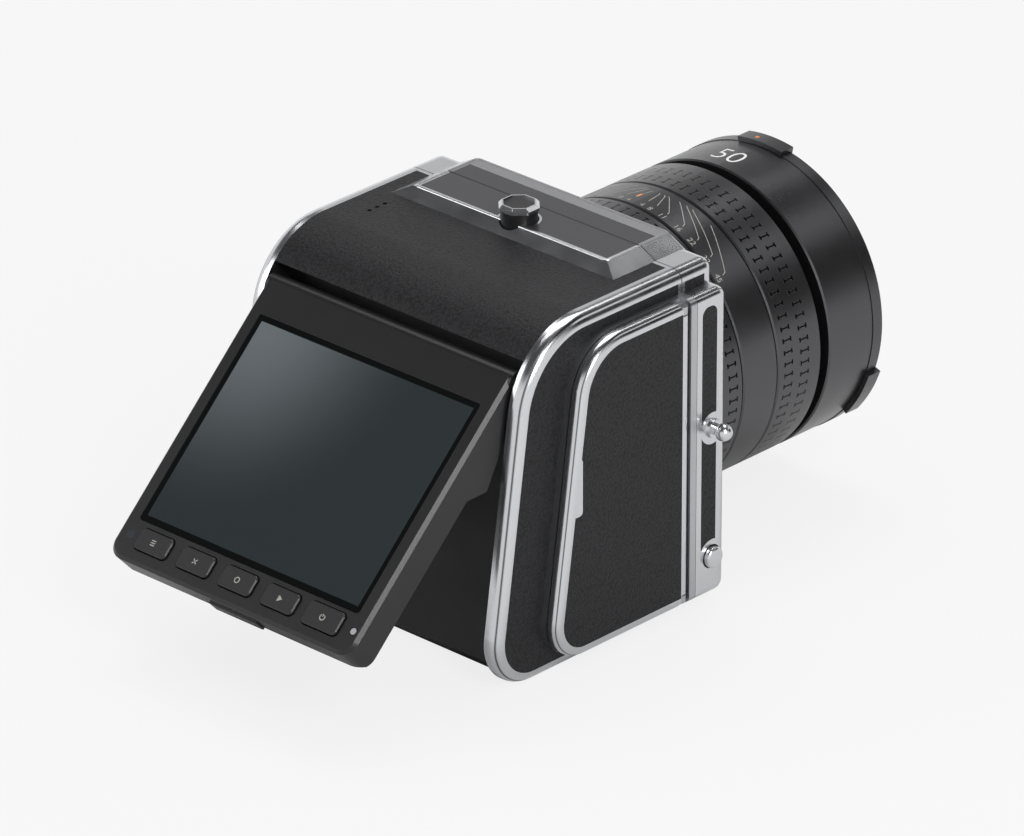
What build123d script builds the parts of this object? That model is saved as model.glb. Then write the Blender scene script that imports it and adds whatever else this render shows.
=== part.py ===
import os
from math import cos, radians, sin, tan

from build123d import *

os.makedirs("parts", exist_ok=True)

# Medium format digital camera: thin camera body, digital back with a tilting display, and a lens.
# Millimetres, +Z up, the lens looks along -Y, the display faces +Y.
# The origin is the tripod socket, in the base under the middle of the camera body.

# Overall form shared by the camera body and the digital back
body_width = 91.0
body_height = 91.0
slab_depth = 11.6
edge_radius = 3.0
front_edge_radius = 2.9
half_width = body_width / 2
slab_front_y = -slab_depth / 2
seam_y = slab_depth / 2
overrun = 30.0

# Digital back, side profile
top_depth = 53.5
rear_lean = 8.3
top_rear_radius = 23.0
bottom_rear_radius = 13.0
rim_width = 4.1

# Leather skins
leather_thickness = 0.5
seam_margin = 1.3

# Raised right side, shared by the body and the back
block_face_x = 50.6
block_top_drop = 5.6
block_bottom_z = 4.2
block_edge_radius = 2.0
block_front_radius = 3.6
block_rear_offset = 15.4
block_top_rear_radius = 15.0
block_bottom_rear_radius = 10.0

# Top bar, shared by the body and the back
bar_height = 2.4
bar_foot_half_width = 37.0
bar_top_half_width = 32.2
bar_rear_depth = 15.0
bar_rear_slope = 3.0
bar_front_setback = 1.0
bar_front_radius = 0.9
bar_lip = 1.2
panel_depth = 0.5
panel_setback = 0.3

# Release button on the top bar
latch_depth = 8.6
latch_travel = 1.5
latch_neck_radius = 4.6
latch_hole_gap = 0.35
latch_cap_radius = 5.35
latch_cap_height = 1.5
latch_cap_lift = 3.0
latch_cap_bevel = 0.8
latch_cap_sides = 8
latch_inlay_radius = 4.1
latch_inlay_depth = 0.35
latch_plate_length = 16.0
latch_plate_width = 9.4
latch_plate_thickness = 1.6
latch_well_clearance = 0.6
running_gap = 0.3

# Speaker holes in the top leather
speaker_radius = 0.55
speaker_x = 33.4
speaker_start = 20.7
speaker_pitch = 2.7
speaker_count = 3
speaker_hole_depth = 2.0

# Camera body
lens_axis_lift = 0.7
light_hole_radius = 24.6
strip_depth = 5.2
strip_start = 1.9
strip_margin = 3.6
strip_corner_radius = 2.2
side_patch_top_inset = 3.2
side_patch_start = 1.0
side_patch_depth = 7.0
front_leather_margin = 4.2
front_leather_ring_radius = 36.0
body_strip_half_width = 30.8
body_strip_depth = 6.2

# Lens mount
mount_ring_radius = 33.4
mount_flange_depth = 19.0
mount_bore_radius = 26.5
mount_lip = 1.6
mount_groove_radius = 28.0
mount_screw_ring_radius = 30.4
mount_screw_radius = 1.1
mount_screw_head_depth = 1.0
mount_screw_shank_radius = 0.7
mount_screw_length = 4.0
mount_screw_count = 4
mount_notch_extra_angle = 4.0
mount_contact_count = 9
mount_contact_radius = 0.55
mount_contact_ring_radius = 26.3
mount_contact_span = 40.0
mount_contact_length = 2.0
mount_contact_root = 1.0

# Lens release and its lock pin
release_z = 14.4
release_radius = 2.8
release_boss_radius = 4.6
release_travel = 1.2
release_proud = 1.6
release_length = 6.0
release_side_gap = 0.3
release_dome_radius = 0.9
lock_pin_radius = 1.2
lock_pin_length = 6.6
lock_pin_ring_radius = 30.4
lock_pin_reach = 1.0

# Strap lugs
lug_lift = 3.5
lug_base_radius = 2.6
lug_base_height = 0.9
lug_neck_radius = 1.5
lug_ball_radius = 2.25
lug_ball_reach = 3.6
lug_boss_radius = 4.2
lug_root_depth = 3.0
lug_root_radius = 1.7
lug_taper_angle = 20.0

# Shutter release and control dial on the front corner
shutter_x = -34.8
shutter_z = 12.0
shutter_radius = 3.0
shutter_travel = 0.8
shutter_proud = 3.2
shutter_edge_radius = 0.8
shutter_root = 2.6
dial_radius = 6.2
dial_bore_radius = 4.2
dial_height = 2.0
dial_lift = 0.4
dial_seat_radius = 4.14
dial_seat_height = 2.5
dial_notch_count = 28
dial_notch_radius = 0.35

# Tripod bush
tripod_bush_radius = 4.7
tripod_bush_length = 9.0
tripod_thread_radius = 2.55
tripod_thread_depth = 7.5

# Electrical interface between body and back
contact_strip_width = 26.0
contact_strip_height = 4.6
contact_strip_thickness = 2.0
contact_strip_z = 12.4
contact_pin_count = 10
contact_pin_pitch = 2.3
contact_pin_radius = 0.5

# Sensor and electronics
sensor_frame_half_width = 40.0
sensor_frame_low_z = 12.6
sensor_frame_top_drop = 7.0
sensor_frame_thickness = 2.4
sensor_frame_radius = 3.0
sensor_window_width = 47.0
sensor_window_height = 36.0
sensor_glass_width = 50.0
sensor_glass_height = 39.0
sensor_glass_thickness = 1.0
sensor_width = 52.0
sensor_height = 41.0
sensor_thickness = 2.6
sensor_gap = 0.3
electronics_half_width = 35.0
electronics_low_z = 35.0
electronics_top_drop = 11.0
electronics_depth = 22.0
board_thickness = 1.6
board_margin = 1.0
heat_block_width = 30.0
heat_block_height = 26.0

# Battery, its bay opens on the left side
battery_length = 74.0
battery_depth = 38.0
battery_height = 20.0
battery_low_z = 8.0
battery_start_depth = 7.0
battery_gap = 0.3
battery_cap_thickness = 1.6
battery_cap_margin = 1.6
battery_radius = 2.0
battery_latch_length = 9.0
battery_latch_height = 3.6
battery_latch_thickness = 1.2
battery_latch_travel = 3.0
battery_latch_z = 34.6
battery_latch_grip = 0.9
battery_latch_depth_in_back = 26.0
battery_slot_gap = 0.3

# Port block and door on the right side
port_base_thickness = 1.8
door_gap = 0.3
door_strip_width = 2.1
door_pin_radius = 0.6
door_pin_gap = 0.05
door_pin_end = 3.0
door_leather_margin = 2.6
door_leather_thickness = 0.4
door_notch_lift = 4.0
door_notch_height = 15.0
door_notch_depth = 1.5
door_notch_radius = 1.0
door_knuckle_gap = 0.3
port_panel_depth = 24.0
port_panel_start = 9.0
port_panel_low_z = 18.0
port_panel_top_drop = 17.0
port_panel_thickness = 2.6
port_panel_radius = 2.0
port_recess = 0.8
card_slot_length = 25.0
card_slot_width = 2.6
card_slot_pitch = 5.0
card_slot_drop = 35.0
port_hole_depth = 2.0
usb_width = 9.0
usb_height = 3.3
usb_z = 24.0
usb_wall = 0.3
jack_radius = 1.8
jack_pitch = 8.0
jack_z = 32.0
jack_collar = 0.8

# Display recess and hinge
recess_top_drop = 7.7
recess_depth = 9.8
hinge_depth = 3.0
hinge_drop = 13.0
display_open_angle = 38.0
hinge_pin_radius = 1.2
hinge_pin_gap = 0.05
hinge_pin_seat = 2.4
recess_foot_chamfer = 3.0

# Display
display_half_width = 40.7
display_length = 77.4
display_thickness = 9.0
display_barrel_radius = 2.8
display_slope_run = 9.0
display_corner_radius = 4.2
display_edge_radius = 0.9
display_foot_bevel = 1.5
wing_width = 3.8
wing_tip_run = 24.8
wing_tip_depth = 10.8
wing_end_run = 29.8
wing_gap = 0.8
finger_bulge_width = 16.0
finger_bulge_depth = 0.6
finger_bulge_height = 3.6

# Display glass and screen panel
glass_top_run = 8.6
glass_bottom_run = 66.8
glass_half_width = 36.8
glass_thickness = 0.9
glass_drop = 0.25
glass_radius = 1.0
glass_ledge = 2.4
screen_panel_thickness = 2.4
display_wall = 2.15
display_cavity_margin = 5.4
display_cavity_top_run = 10.6
display_cavity_bottom_run = 74.7
display_cavity_radius = 1.2
back_cover_thickness = 1.6
back_cover_overlap = 1.0
screen_panel_gap = 0.3

# Keys
key_run = 71.0
key_pitch = 14.2
key_length = 10.6
key_width = 5.6
key_radius = 1.2
key_proud = 0.75
key_travel = 0.4
key_gap = 0.3
key_flange = 0.6
key_flange_thickness = 0.5
key_stem_radius = 1.0
key_edge_bevel = 0.3
power_key_scale_share = 1.08
lamp_radius = 1.0
lamp_x = -38.1
sensor_window_radius = 1.3
sensor_window_x = 36.6
lamp_depth = 1.2

# Lens, distances are measured forward from the seam
lens_radius = 38.0
core_radius = 31.8
core_bore_radius = 25.4
core_front = 72.2
collar_radius = 35.6
collar_front = 21.8
control_front = 30.8
scale_front = 43.4
focus_front = 59.4
groove_front = 62.6
barrel_front = 78.5
lens_front = 82.2
ring_gap = 0.35
bearing_gap = 0.06
control_sleeve_radius = 34.2
clutch_radius = 34.8
front_ring_radius = 38.2
filter_thread_radius = 35.6
filter_thread_depth = 3.2
hood_lug_radius = 39.4
hood_lug_angle = 21.5
hood_lug_back = 78.2
hood_lug_front = 82.6
hood_lug_count = 3
hood_lug_root = 1.0
barrel_seat_radius = 35.0
front_glass_radius = 24.0
front_glass_crown = 3.2
front_glass_thickness = 4.0
bezel_depth = 7.0
bezel_lip = 0.6
bayonet_radius = 26.2
bayonet_depth = 4.0
bayonet_tab_radius = 27.6
bayonet_tab_thickness = 1.2
bayonet_tab_count = 3
bayonet_tab_angle = 40.0
bayonet_tab_gap = 0.3
bayonet_bore_radius = 21.0
rear_glass_thickness = 3.0
rear_glass_crown = 1.6
iris_outer_radius = 23.5
iris_inner_radius = 15.0
iris_blade_count = 8
iris_blade_thickness = 0.3
iris_blade_gap = 0.04
iris_blade_angle = 120.0
iris_front = 44.0
ring_chamfer = 0.4
iris_ledge_inner_radius = 22.0
iris_ledge_thickness = 1.2

# Heights measured down from the top, or from half the height
block_top_z = body_height - block_top_drop
sensor_frame_high_z = body_height - sensor_frame_top_drop
electronics_high_z = body_height - electronics_top_drop
port_panel_high_z = body_height - port_panel_top_drop
card_slot_z = body_height - card_slot_drop
recess_top_z = body_height - recess_top_drop
hinge_z = body_height - hinge_drop
lens_axis_z = body_height / 2 + lens_axis_lift
door_notch_z = body_height / 2 + door_notch_lift
lug_z = body_height / 2 + lug_lift

lean = radians(rear_lean)
rear_top_y = seam_y + top_depth
flange_y = seam_y - mount_flange_depth
block_strip_y = seam_y + door_strip_width
lens_axis = Axis((0, 0, lens_axis_z), (0, -1, 0))


def front_plane(y):
    # Faces -Y: sketch x runs along X, sketch y runs up, and extrusions go forward
    return Plane.XZ.offset(-y)


def side_plane(x):
    # Faces +X: sketch x runs along Y, sketch y runs up
    return Plane.YZ.offset(x)


def rear_y(z):
    # The leaning rear face of the digital back
    return rear_top_y + (body_height - z) * tan(lean)


def block_rear_y(z):
    # The rear edge of the raised side runs beside the rear face
    return rear_y(z) - block_rear_offset



def lens_y(distance):
    # Lens distances run forward from the seam
    return seam_y - distance


def side_profile(front, low, high, rear, radii, inset):
    # Closed side profile with two rounded rear corners, drawn in by the inset all round
    with BuildSketch() as section:
        with BuildLine():
            corners = [(front, low), (rear(low), low), (rear(high), high), (front, high)]
            FilletPolyline(*corners, radius=radii)
            Line((front, high), (front, low))
        make_face()
        if inset:
            offset(amount=-inset)
    return section.sketch


def back_section(inset, front_margin):
    # The digital back, whose front edge keeps its own margin behind the seam
    front = seam_y + front_margin - inset
    radii = (bottom_rear_radius, top_rear_radius)
    return side_profile(front, 0, body_height, rear_y, radii, inset)


def block_section(inset, front_margin):
    # The raised right side, whose front edge keeps its own margin behind the seam
    front = seam_y + front_margin - inset
    radii = (block_bottom_rear_radius, block_top_rear_radius)
    return side_profile(front, block_bottom_z, block_top_z, block_rear_y, radii, inset)


def ring_profile(*points):
    # Half section of a lens ring in the current sketch, as distance forward and radius
    corners = [(lens_y(distance), lens_axis_z + radius) for distance, radius in points]
    Polygon(*corners, align=None)


def sectors(outer_radius, inner_radius, count, start_angle, width_angle):
    # Equal pieces of a flat ring round the lens axis, drawn in the current sketch
    reach = 2 * outer_radius
    spread = reach * tan(radians(width_angle / 2))
    with Locations((0, lens_axis_z)):
        with PolarLocations(0, count, start_angle=start_angle):
            Polygon((0, 0), (reach, -spread), (reach, spread), align=None)
        Circle(outer_radius, mode=Mode.INTERSECT)
        Circle(inner_radius, mode=Mode.SUBTRACT)


def save(piece, name):
    piece.part.label = name
    export_step(piece.part, f"parts/{name}.step")


# Leather skins of the digital back
bar_rear_y = seam_y + bar_rear_depth
with BuildPart() as top_leather:
    with BuildSketch(side_plane(-half_width + rim_width)):
        add(back_section(0, 0))
        add(back_section(leather_thickness, 0), mode=Mode.SUBTRACT)
        with Locations((seam_y + seam_margin, recess_top_z)):
            Rectangle(body_height, body_height, align=(Align.MIN, Align.MIN), mode=Mode.INTERSECT)
    extrude(amount=body_width - 2 * rim_width)
    with BuildSketch(Plane.XY.offset(body_height)):
        with Locations((0, seam_y)):
            Rectangle(2 * bar_foot_half_width, bar_rear_depth, align=(Align.CENTER, Align.MIN))
    extrude(amount=-overrun, mode=Mode.SUBTRACT)
    with BuildSketch(Plane.XY.offset(body_height)):
        for hole in range(speaker_count):
            with Locations((speaker_x, seam_y + speaker_start + hole * speaker_pitch)):
                Circle(speaker_radius)
    extrude(amount=-speaker_hole_depth, mode=Mode.SUBTRACT)

battery_low_y = seam_y + battery_start_depth
battery_mid_y = battery_low_y + battery_depth / 2
battery_mid_z = battery_low_z + battery_height / 2
battery_latch_y = seam_y + battery_latch_depth_in_back
battery_slot_length = battery_latch_length + battery_latch_travel + 2 * battery_slot_gap
battery_slot_height = battery_latch_height + 2 * battery_slot_gap
battery_slot_mid_y = battery_latch_y + battery_latch_travel / 2
with BuildPart() as side_leather_left:
    with BuildSketch(side_plane(half_width - leather_thickness)):
        add(back_section(edge_radius, seam_margin))
        with Locations((battery_mid_y, battery_mid_z)):
            RectangleRounded(
                battery_depth + 2 * (battery_cap_margin + battery_gap),
                battery_height + 2 * (battery_cap_margin + battery_gap),
                battery_radius,
                mode=Mode.SUBTRACT,
            )
        with Locations((battery_slot_mid_y, battery_latch_z)):
            Rectangle(battery_slot_length, battery_slot_height, mode=Mode.SUBTRACT)
    extrude(amount=leather_thickness)

with BuildPart() as side_leather_right:
    with BuildSketch(side_plane(-half_width)):
        add(back_section(edge_radius, seam_margin))
        add(block_section(0, 0), mode=Mode.SUBTRACT)
    extrude(amount=leather_thickness)

# Display recess and hinge, both measured from the leaning rear face
display_tilt = lean + radians(display_open_angle)
hinge_y = rear_y(hinge_z) - hinge_depth / cos(lean)
recess_half_width = half_width - rim_width
hinge_pin_half_length = recess_half_width + hinge_pin_seat
display_face = display_barrel_radius
display_back = display_face - display_thickness
facing = Vector(0, cos(display_tilt), sin(display_tilt))


def tilted_plane(x, tilt):
    # Faces +X at the hinge: sketch x runs down the display, sketch y runs out of its face
    return Plane(origin=(x, hinge_y, hinge_z), x_dir=(0, sin(tilt), -cos(tilt)), z_dir=(1, 0, 0))


def display_plane(height):
    # Parallel to the display's face at a height above the hinge axis: sketch y runs down the display
    return Plane(
        origin=Vector(0, hinge_y, hinge_z) + facing * height,
        x_dir=(1, 0, 0),
        z_dir=tuple(facing),
    )


def floor_y(z):
    return rear_y(z) - recess_depth / cos(lean)


def wing_outline():
    # Fin behind the display's side, deepest near the middle of its run
    Polygon(
        (0, -display_barrel_radius),
        (wing_tip_run, -wing_tip_depth),
        (wing_end_run, display_back),
        align=None,
    )


# Housing of the digital back, with polished edges between the leather skins
latch_y = seam_y + latch_depth
bar_top_z = body_height + bar_height
latch_well_depth = running_gap + latch_plate_thickness + latch_travel + latch_well_clearance
latch_well_length = latch_plate_length + 2 * running_gap
latch_well_width = latch_plate_width + 2 * running_gap
sensor_back_y = seam_y + sensor_frame_thickness + sensor_thickness
with BuildPart() as back_housing:
    with BuildSketch(side_plane(-half_width)):
        add(back_section(0, 0))
    extrude(amount=body_width)
    rim_edges = [
        edge
        for face in back_housing.faces().filter_by(Axis.X)
        for edge in face.edges()
        if edge.center().Y > seam_y + edge_radius
    ]
    fillet(rim_edges, edge_radius)
    with BuildSketch(side_plane(-recess_half_width)):
        Polygon(
            (floor_y(recess_top_z), recess_top_z),
            (rear_y(0) + overrun, recess_top_z),
            (rear_y(0) + overrun, -overrun),
            (floor_y(0) - recess_foot_chamfer, -overrun),
            (floor_y(0) - recess_foot_chamfer, 0),
            (floor_y(recess_foot_chamfer), recess_foot_chamfer),
            align=None,
        )
    extrude(amount=2 * recess_half_width, mode=Mode.SUBTRACT)
    for side in (-recess_half_width, recess_half_width - wing_width - 2 * wing_gap):
        with BuildSketch(tilted_plane(side, lean)):
            wing_outline()
            offset(amount=wing_gap)
        extrude(amount=wing_width + 2 * wing_gap, mode=Mode.SUBTRACT)
    with BuildSketch(side_plane(-hinge_pin_half_length)):
        with Locations((hinge_y, hinge_z)):
            Circle(hinge_pin_radius)
    extrude(amount=2 * hinge_pin_half_length, mode=Mode.SUBTRACT)
    with BuildSketch(front_plane(seam_y + sensor_frame_thickness)):
        with Locations((0, (sensor_frame_low_z + sensor_frame_high_z) / 2)):
            RectangleRounded(
                2 * sensor_frame_half_width,
                sensor_frame_high_z - sensor_frame_low_z,
                sensor_frame_radius,
            )
    extrude(amount=overrun, mode=Mode.SUBTRACT)
    with BuildSketch(front_plane(seam_y + electronics_depth)):
        with Locations((0, (electronics_low_z + electronics_high_z) / 2)):
            Rectangle(2 * electronics_half_width, electronics_high_z - electronics_low_z)
    extrude(amount=overrun + electronics_depth, mode=Mode.SUBTRACT)
    with BuildSketch(front_plane(sensor_back_y)):
        with Locations((0, lens_axis_z)):
            Rectangle(sensor_width + 2 * sensor_gap, sensor_height + 2 * sensor_gap)
    extrude(amount=overrun, mode=Mode.SUBTRACT)
    with BuildSketch(side_plane(half_width - battery_cap_thickness)):
        with Locations((battery_mid_y, battery_mid_z)):
            RectangleRounded(
                battery_depth + 2 * (battery_cap_margin + battery_gap),
                battery_height + 2 * (battery_cap_margin + battery_gap),
                battery_radius,
            )
    extrude(amount=overrun, mode=Mode.SUBTRACT)
    with BuildSketch(side_plane(half_width - battery_length - battery_gap)):
        with Locations((battery_mid_y, battery_mid_z)):
            RectangleRounded(
                battery_depth + 2 * battery_gap, battery_height + 2 * battery_gap, battery_radius
            )
    extrude(amount=battery_length + overrun, mode=Mode.SUBTRACT)
    with BuildSketch(side_plane(half_width - battery_latch_thickness - battery_slot_gap)):
        with Locations((battery_slot_mid_y, battery_latch_z)):
            Rectangle(battery_slot_length, battery_slot_height)
    extrude(amount=overrun, mode=Mode.SUBTRACT)
    with BuildSketch(Plane.XY.offset(body_height)):
        with Locations((0, latch_y)):
            Rectangle(latch_well_length, latch_well_width)
    extrude(amount=-latch_well_depth, mode=Mode.SUBTRACT)
    with BuildSketch(Plane.XY.offset(body_height)):
        for hole in range(speaker_count):
            with Locations((speaker_x, seam_y + speaker_start + hole * speaker_pitch)):
                Circle(speaker_radius)
    extrude(amount=-speaker_hole_depth, mode=Mode.SUBTRACT)
    with BuildSketch(side_plane(-half_width)):
        with Locations(
            (
                seam_y + port_panel_start + port_panel_depth / 2,
                (port_panel_low_z + port_panel_high_z) / 2,
            )
        ):
            RectangleRounded(
                port_panel_depth, port_panel_high_z - port_panel_low_z, port_panel_radius
            )
    extrude(amount=port_panel_thickness - port_base_thickness + port_recess, mode=Mode.SUBTRACT)
    add(top_leather.part, mode=Mode.SUBTRACT)
    add(side_leather_left.part, mode=Mode.SUBTRACT)
    add(side_leather_right.part, mode=Mode.SUBTRACT)

with BuildPart() as hinge_pin:
    with BuildSketch(side_plane(-hinge_pin_half_length)):
        with Locations((hinge_y, hinge_z)):
            Circle(hinge_pin_radius)
    extrude(amount=2 * hinge_pin_half_length)

# Raised block on the right side: fixed base with ears, and the door over it
door_inner_x = half_width + port_base_thickness + door_gap
door_thickness = block_face_x - door_inner_x
door_axis_x = -(block_face_x - door_thickness / 2)
door_axis_y = block_strip_y + door_gap + door_thickness / 2
ear_spans = (
    (block_bottom_z + block_edge_radius / 2, block_bottom_z + door_pin_end),
    (block_top_z - door_pin_end, block_top_z - block_edge_radius / 2),
)
with BuildPart() as port_block:
    with BuildSketch(side_plane(-half_width)):
        add(block_section(0, 0))
    extrude(amount=-port_base_thickness)
    with BuildSketch(front_plane(block_strip_y)):
        with Locations((-half_width / 2, (block_top_z + block_bottom_z) / 2)):
            RectangleRounded(
                2 * block_face_x - half_width, block_top_z - block_bottom_z, block_edge_radius
            )
        with Locations((-half_width, body_height / 2)):
            Rectangle(
                overrun + body_width, 2 * body_height, align=(Align.MIN, Align.CENTER), mode=Mode.SUBTRACT
            )
    extrude(amount=door_strip_width)
    for low, high in ear_spans:
        with BuildSketch(Plane.XY.offset(low)):
            with Locations((door_axis_x, door_axis_y)):
                Circle(door_thickness / 2)
            with Locations((door_axis_x, block_strip_y)):
                Rectangle(
                    -half_width - door_axis_x,
                    door_axis_y - block_strip_y,
                    align=(Align.MIN, Align.MIN),
                )
        extrude(amount=high - low)
        with BuildSketch(Plane.XY.offset(low)):
            with Locations((door_axis_x, door_axis_y)):
                Circle(door_pin_radius)
        extrude(amount=high - low, mode=Mode.SUBTRACT)
    with BuildSketch(side_plane(-half_width)):
        with Locations(
            (
                seam_y + port_panel_start + port_panel_depth / 2,
                (port_panel_low_z + port_panel_high_z) / 2,
            )
        ):
            RectangleRounded(
                port_panel_depth, port_panel_high_z - port_panel_low_z, port_panel_radius
            )
    extrude(amount=-port_base_thickness, mode=Mode.SUBTRACT)

door_outer_plane = side_plane(-block_face_x + door_leather_thickness)
with BuildPart() as port_door_leather:
    with BuildSketch(door_outer_plane):
        add(block_section(door_leather_margin, door_strip_width + door_gap + door_leather_margin))
        with Locations((block_rear_y(door_notch_z) - door_leather_margin, door_notch_z)):
            RectangleRounded(
                2 * door_notch_depth, door_notch_height, door_notch_radius, mode=Mode.SUBTRACT
            )
    extrude(amount=-door_leather_thickness)

with BuildPart() as port_door:
    with BuildSketch(side_plane(-door_inner_x)):
        add(block_section(0, door_axis_y - seam_y))
    extrude(amount=-door_thickness)
    outer_face = port_door.faces().sort_by(Axis.X)[0]
    fillet(
        [edge for edge in outer_face.edges() if edge.center().Y > door_axis_y + door_thickness],
        block_edge_radius,
    )
    with BuildSketch(Plane.XY.offset(block_bottom_z + door_pin_end + door_knuckle_gap)):
        with Locations((door_axis_x, door_axis_y)):
            Circle(door_thickness / 2)
    extrude(amount=block_top_z - block_bottom_z - 2 * (door_pin_end + door_knuckle_gap))
    for low, high in ((block_bottom_z, ear_spans[0][1]), (ear_spans[1][0], block_top_z)):
        with BuildSketch(Plane.XY.offset(low - door_knuckle_gap)):
            with Locations((door_axis_x, door_axis_y)):
                Circle(door_thickness / 2 + door_knuckle_gap)
        extrude(amount=high - low + 2 * door_knuckle_gap, mode=Mode.SUBTRACT)
    with BuildSketch(Plane.XY):
        with Locations((door_axis_x, door_axis_y)):
            Circle(door_pin_radius + door_pin_gap)
    extrude(amount=body_height, mode=Mode.SUBTRACT)
    add(port_door_leather.part, mode=Mode.SUBTRACT)

with BuildPart() as port_hinge_pin:
    with BuildSketch(Plane.XY.offset(ear_spans[0][0])):
        with Locations((door_axis_x, door_axis_y)):
            Circle(door_pin_radius)
    extrude(amount=ear_spans[1][1] - ear_spans[0][0])

# Panel with the card slots and connectors, behind the door
port_mid_y = seam_y + port_panel_start + port_panel_depth / 2
port_mid_z = (port_panel_low_z + port_panel_high_z) / 2
port_face_x = -half_width - port_base_thickness + port_recess
with BuildPart() as port_panel:
    with BuildSketch(side_plane(port_face_x + port_panel_thickness)):
        with Locations((port_mid_y, port_mid_z)):
            RectangleRounded(
                port_panel_depth, port_panel_high_z - port_panel_low_z, port_panel_radius
            )
    extrude(amount=-port_panel_thickness)
    with BuildSketch(side_plane(port_face_x)):
        for slot in (-1, 1):
            with Locations((port_mid_y + slot * card_slot_pitch / 2, card_slot_z)):
                Rectangle(card_slot_width, card_slot_length)
        with Locations((port_mid_y, usb_z)):
            SlotOverall(usb_width, usb_height)
        for jack in (-1, 1):
            with Locations((port_mid_y + jack * jack_pitch / 2, jack_z)):
                Circle(jack_radius + jack_collar)
    extrude(amount=port_hole_depth, mode=Mode.SUBTRACT)

with BuildPart() as port_sockets:
    with BuildSketch(side_plane(port_face_x + port_hole_depth)):
        with Locations((port_mid_y, usb_z)):
            SlotOverall(usb_width, usb_height)
            SlotOverall(usb_width - 2 * usb_wall, usb_height - 2 * usb_wall, mode=Mode.SUBTRACT)
        for jack in (-1, 1):
            with Locations((port_mid_y + jack * jack_pitch / 2, jack_z)):
                Circle(jack_radius + jack_collar)
                Circle(jack_radius, mode=Mode.SUBTRACT)
    extrude(amount=-port_hole_depth)

# Top bar of the digital back with its release button
with BuildPart() as latch_panel:
    with BuildSketch(Plane.XY.offset(bar_top_z)):
        with Locations((0, seam_y + panel_setback)):
            Rectangle(
                2 * (bar_top_half_width - bar_lip),
                bar_rear_depth - bar_rear_slope - bar_lip - panel_setback,
                align=(Align.CENTER, Align.MIN),
            )
        with Locations((0, latch_y)):
            Circle(latch_neck_radius + latch_hole_gap + bar_lip / 2, mode=Mode.SUBTRACT)
    extrude(amount=-panel_depth)

with BuildPart() as latch_bar:
    with BuildSketch(front_plane(seam_y + bar_rear_depth)):
        Polygon(
            (-bar_foot_half_width, body_height),
            (bar_foot_half_width, body_height),
            (bar_top_half_width, bar_top_z),
            (-bar_top_half_width, bar_top_z),
            align=None,
        )
    extrude(amount=bar_rear_depth)
    with BuildSketch(side_plane(-bar_foot_half_width)):
        Polygon(
            (seam_y, body_height),
            (bar_rear_y, body_height),
            (bar_rear_y - bar_rear_slope, bar_top_z),
            (seam_y, bar_top_z),
            align=None,
        )
    extrude(amount=2 * bar_foot_half_width, mode=Mode.INTERSECT)
    with BuildSketch(Plane.XY.offset(bar_top_z)):
        with Locations((0, latch_y)):
            Circle(latch_neck_radius + latch_hole_gap)
    extrude(amount=-bar_height, mode=Mode.SUBTRACT)
    add(latch_panel.part, mode=Mode.SUBTRACT)

cap_low_z = bar_top_z + latch_cap_lift
plate_top_z = body_height - running_gap
with BuildPart() as latch_cap:
    with BuildSketch(Plane.XY.offset(cap_low_z)):
        with Locations((0, latch_y)):
            RegularPolygon(latch_cap_radius, latch_cap_sides, rotation=180 / latch_cap_sides)
            fillet(vertices(), latch_cap_bevel)
    extrude(amount=latch_cap_height)
    chamfer(latch_cap.faces().sort_by(Axis.Z)[-1].edges(), latch_cap_bevel)
    with BuildSketch(Plane.XY.offset(cap_low_z)):
        with Locations((0, latch_y)):
            RegularPolygon(latch_inlay_radius, latch_cap_sides, rotation=180 / latch_cap_sides)
    extrude(amount=latch_cap_height, mode=Mode.SUBTRACT)

with BuildPart() as latch_button:
    with BuildSketch(Plane.XY.offset(plate_top_z)):
        with Locations((0, latch_y)):
            Circle(latch_neck_radius)
    extrude(amount=cap_low_z - plate_top_z)
    with BuildSketch(Plane.XY.offset(cap_low_z)):
        with Locations((0, latch_y)):
            RegularPolygon(latch_inlay_radius, latch_cap_sides, rotation=180 / latch_cap_sides)
    extrude(amount=latch_cap_height - latch_inlay_depth)

with BuildPart() as latch_plate:
    with BuildSketch(Plane.XY.offset(plate_top_z)):
        with Locations((0, latch_y)):
            RectangleRounded(latch_plate_length, latch_plate_width, latch_cap_bevel)
    extrude(amount=-latch_plate_thickness)

# Sensor and electronics inside the digital back
with BuildPart() as sensor_glass:
    with BuildSketch(front_plane(seam_y + sensor_glass_thickness)):
        with Locations((0, lens_axis_z)):
            Rectangle(sensor_glass_width, sensor_glass_height)
    extrude(amount=sensor_glass_thickness)

with BuildPart() as sensor_frame:
    with BuildSketch(front_plane(seam_y + sensor_frame_thickness)):
        with Locations((0, (sensor_frame_low_z + sensor_frame_high_z) / 2)):
            RectangleRounded(
                2 * sensor_frame_half_width,
                sensor_frame_high_z - sensor_frame_low_z,
                sensor_frame_radius,
            )
        with Locations((0, lens_axis_z)):
            Rectangle(sensor_window_width, sensor_window_height, mode=Mode.SUBTRACT)
    extrude(amount=sensor_frame_thickness)
    add(sensor_glass.part, mode=Mode.SUBTRACT)

board_front_y = seam_y + electronics_depth - board_thickness
with BuildPart() as image_sensor:
    with BuildSketch(front_plane(sensor_back_y)):
        with Locations((0, lens_axis_z)):
            Rectangle(sensor_width, sensor_height)
    extrude(amount=sensor_thickness)

with BuildPart() as heat_block:
    with BuildSketch(front_plane(board_front_y)):
        with Locations((0, electronics_low_z + board_margin)):
            Rectangle(heat_block_width, heat_block_height, align=(Align.CENTER, Align.MIN))
    extrude(amount=board_front_y - sensor_back_y)

with BuildPart() as main_board:
    with BuildSketch(front_plane(seam_y + electronics_depth)):
        with Locations((0, (electronics_low_z + electronics_high_z) / 2)):
            Rectangle(
                2 * (electronics_half_width - board_margin),
                electronics_high_z - electronics_low_z - 2 * board_margin,
            )
    extrude(amount=board_thickness)

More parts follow.
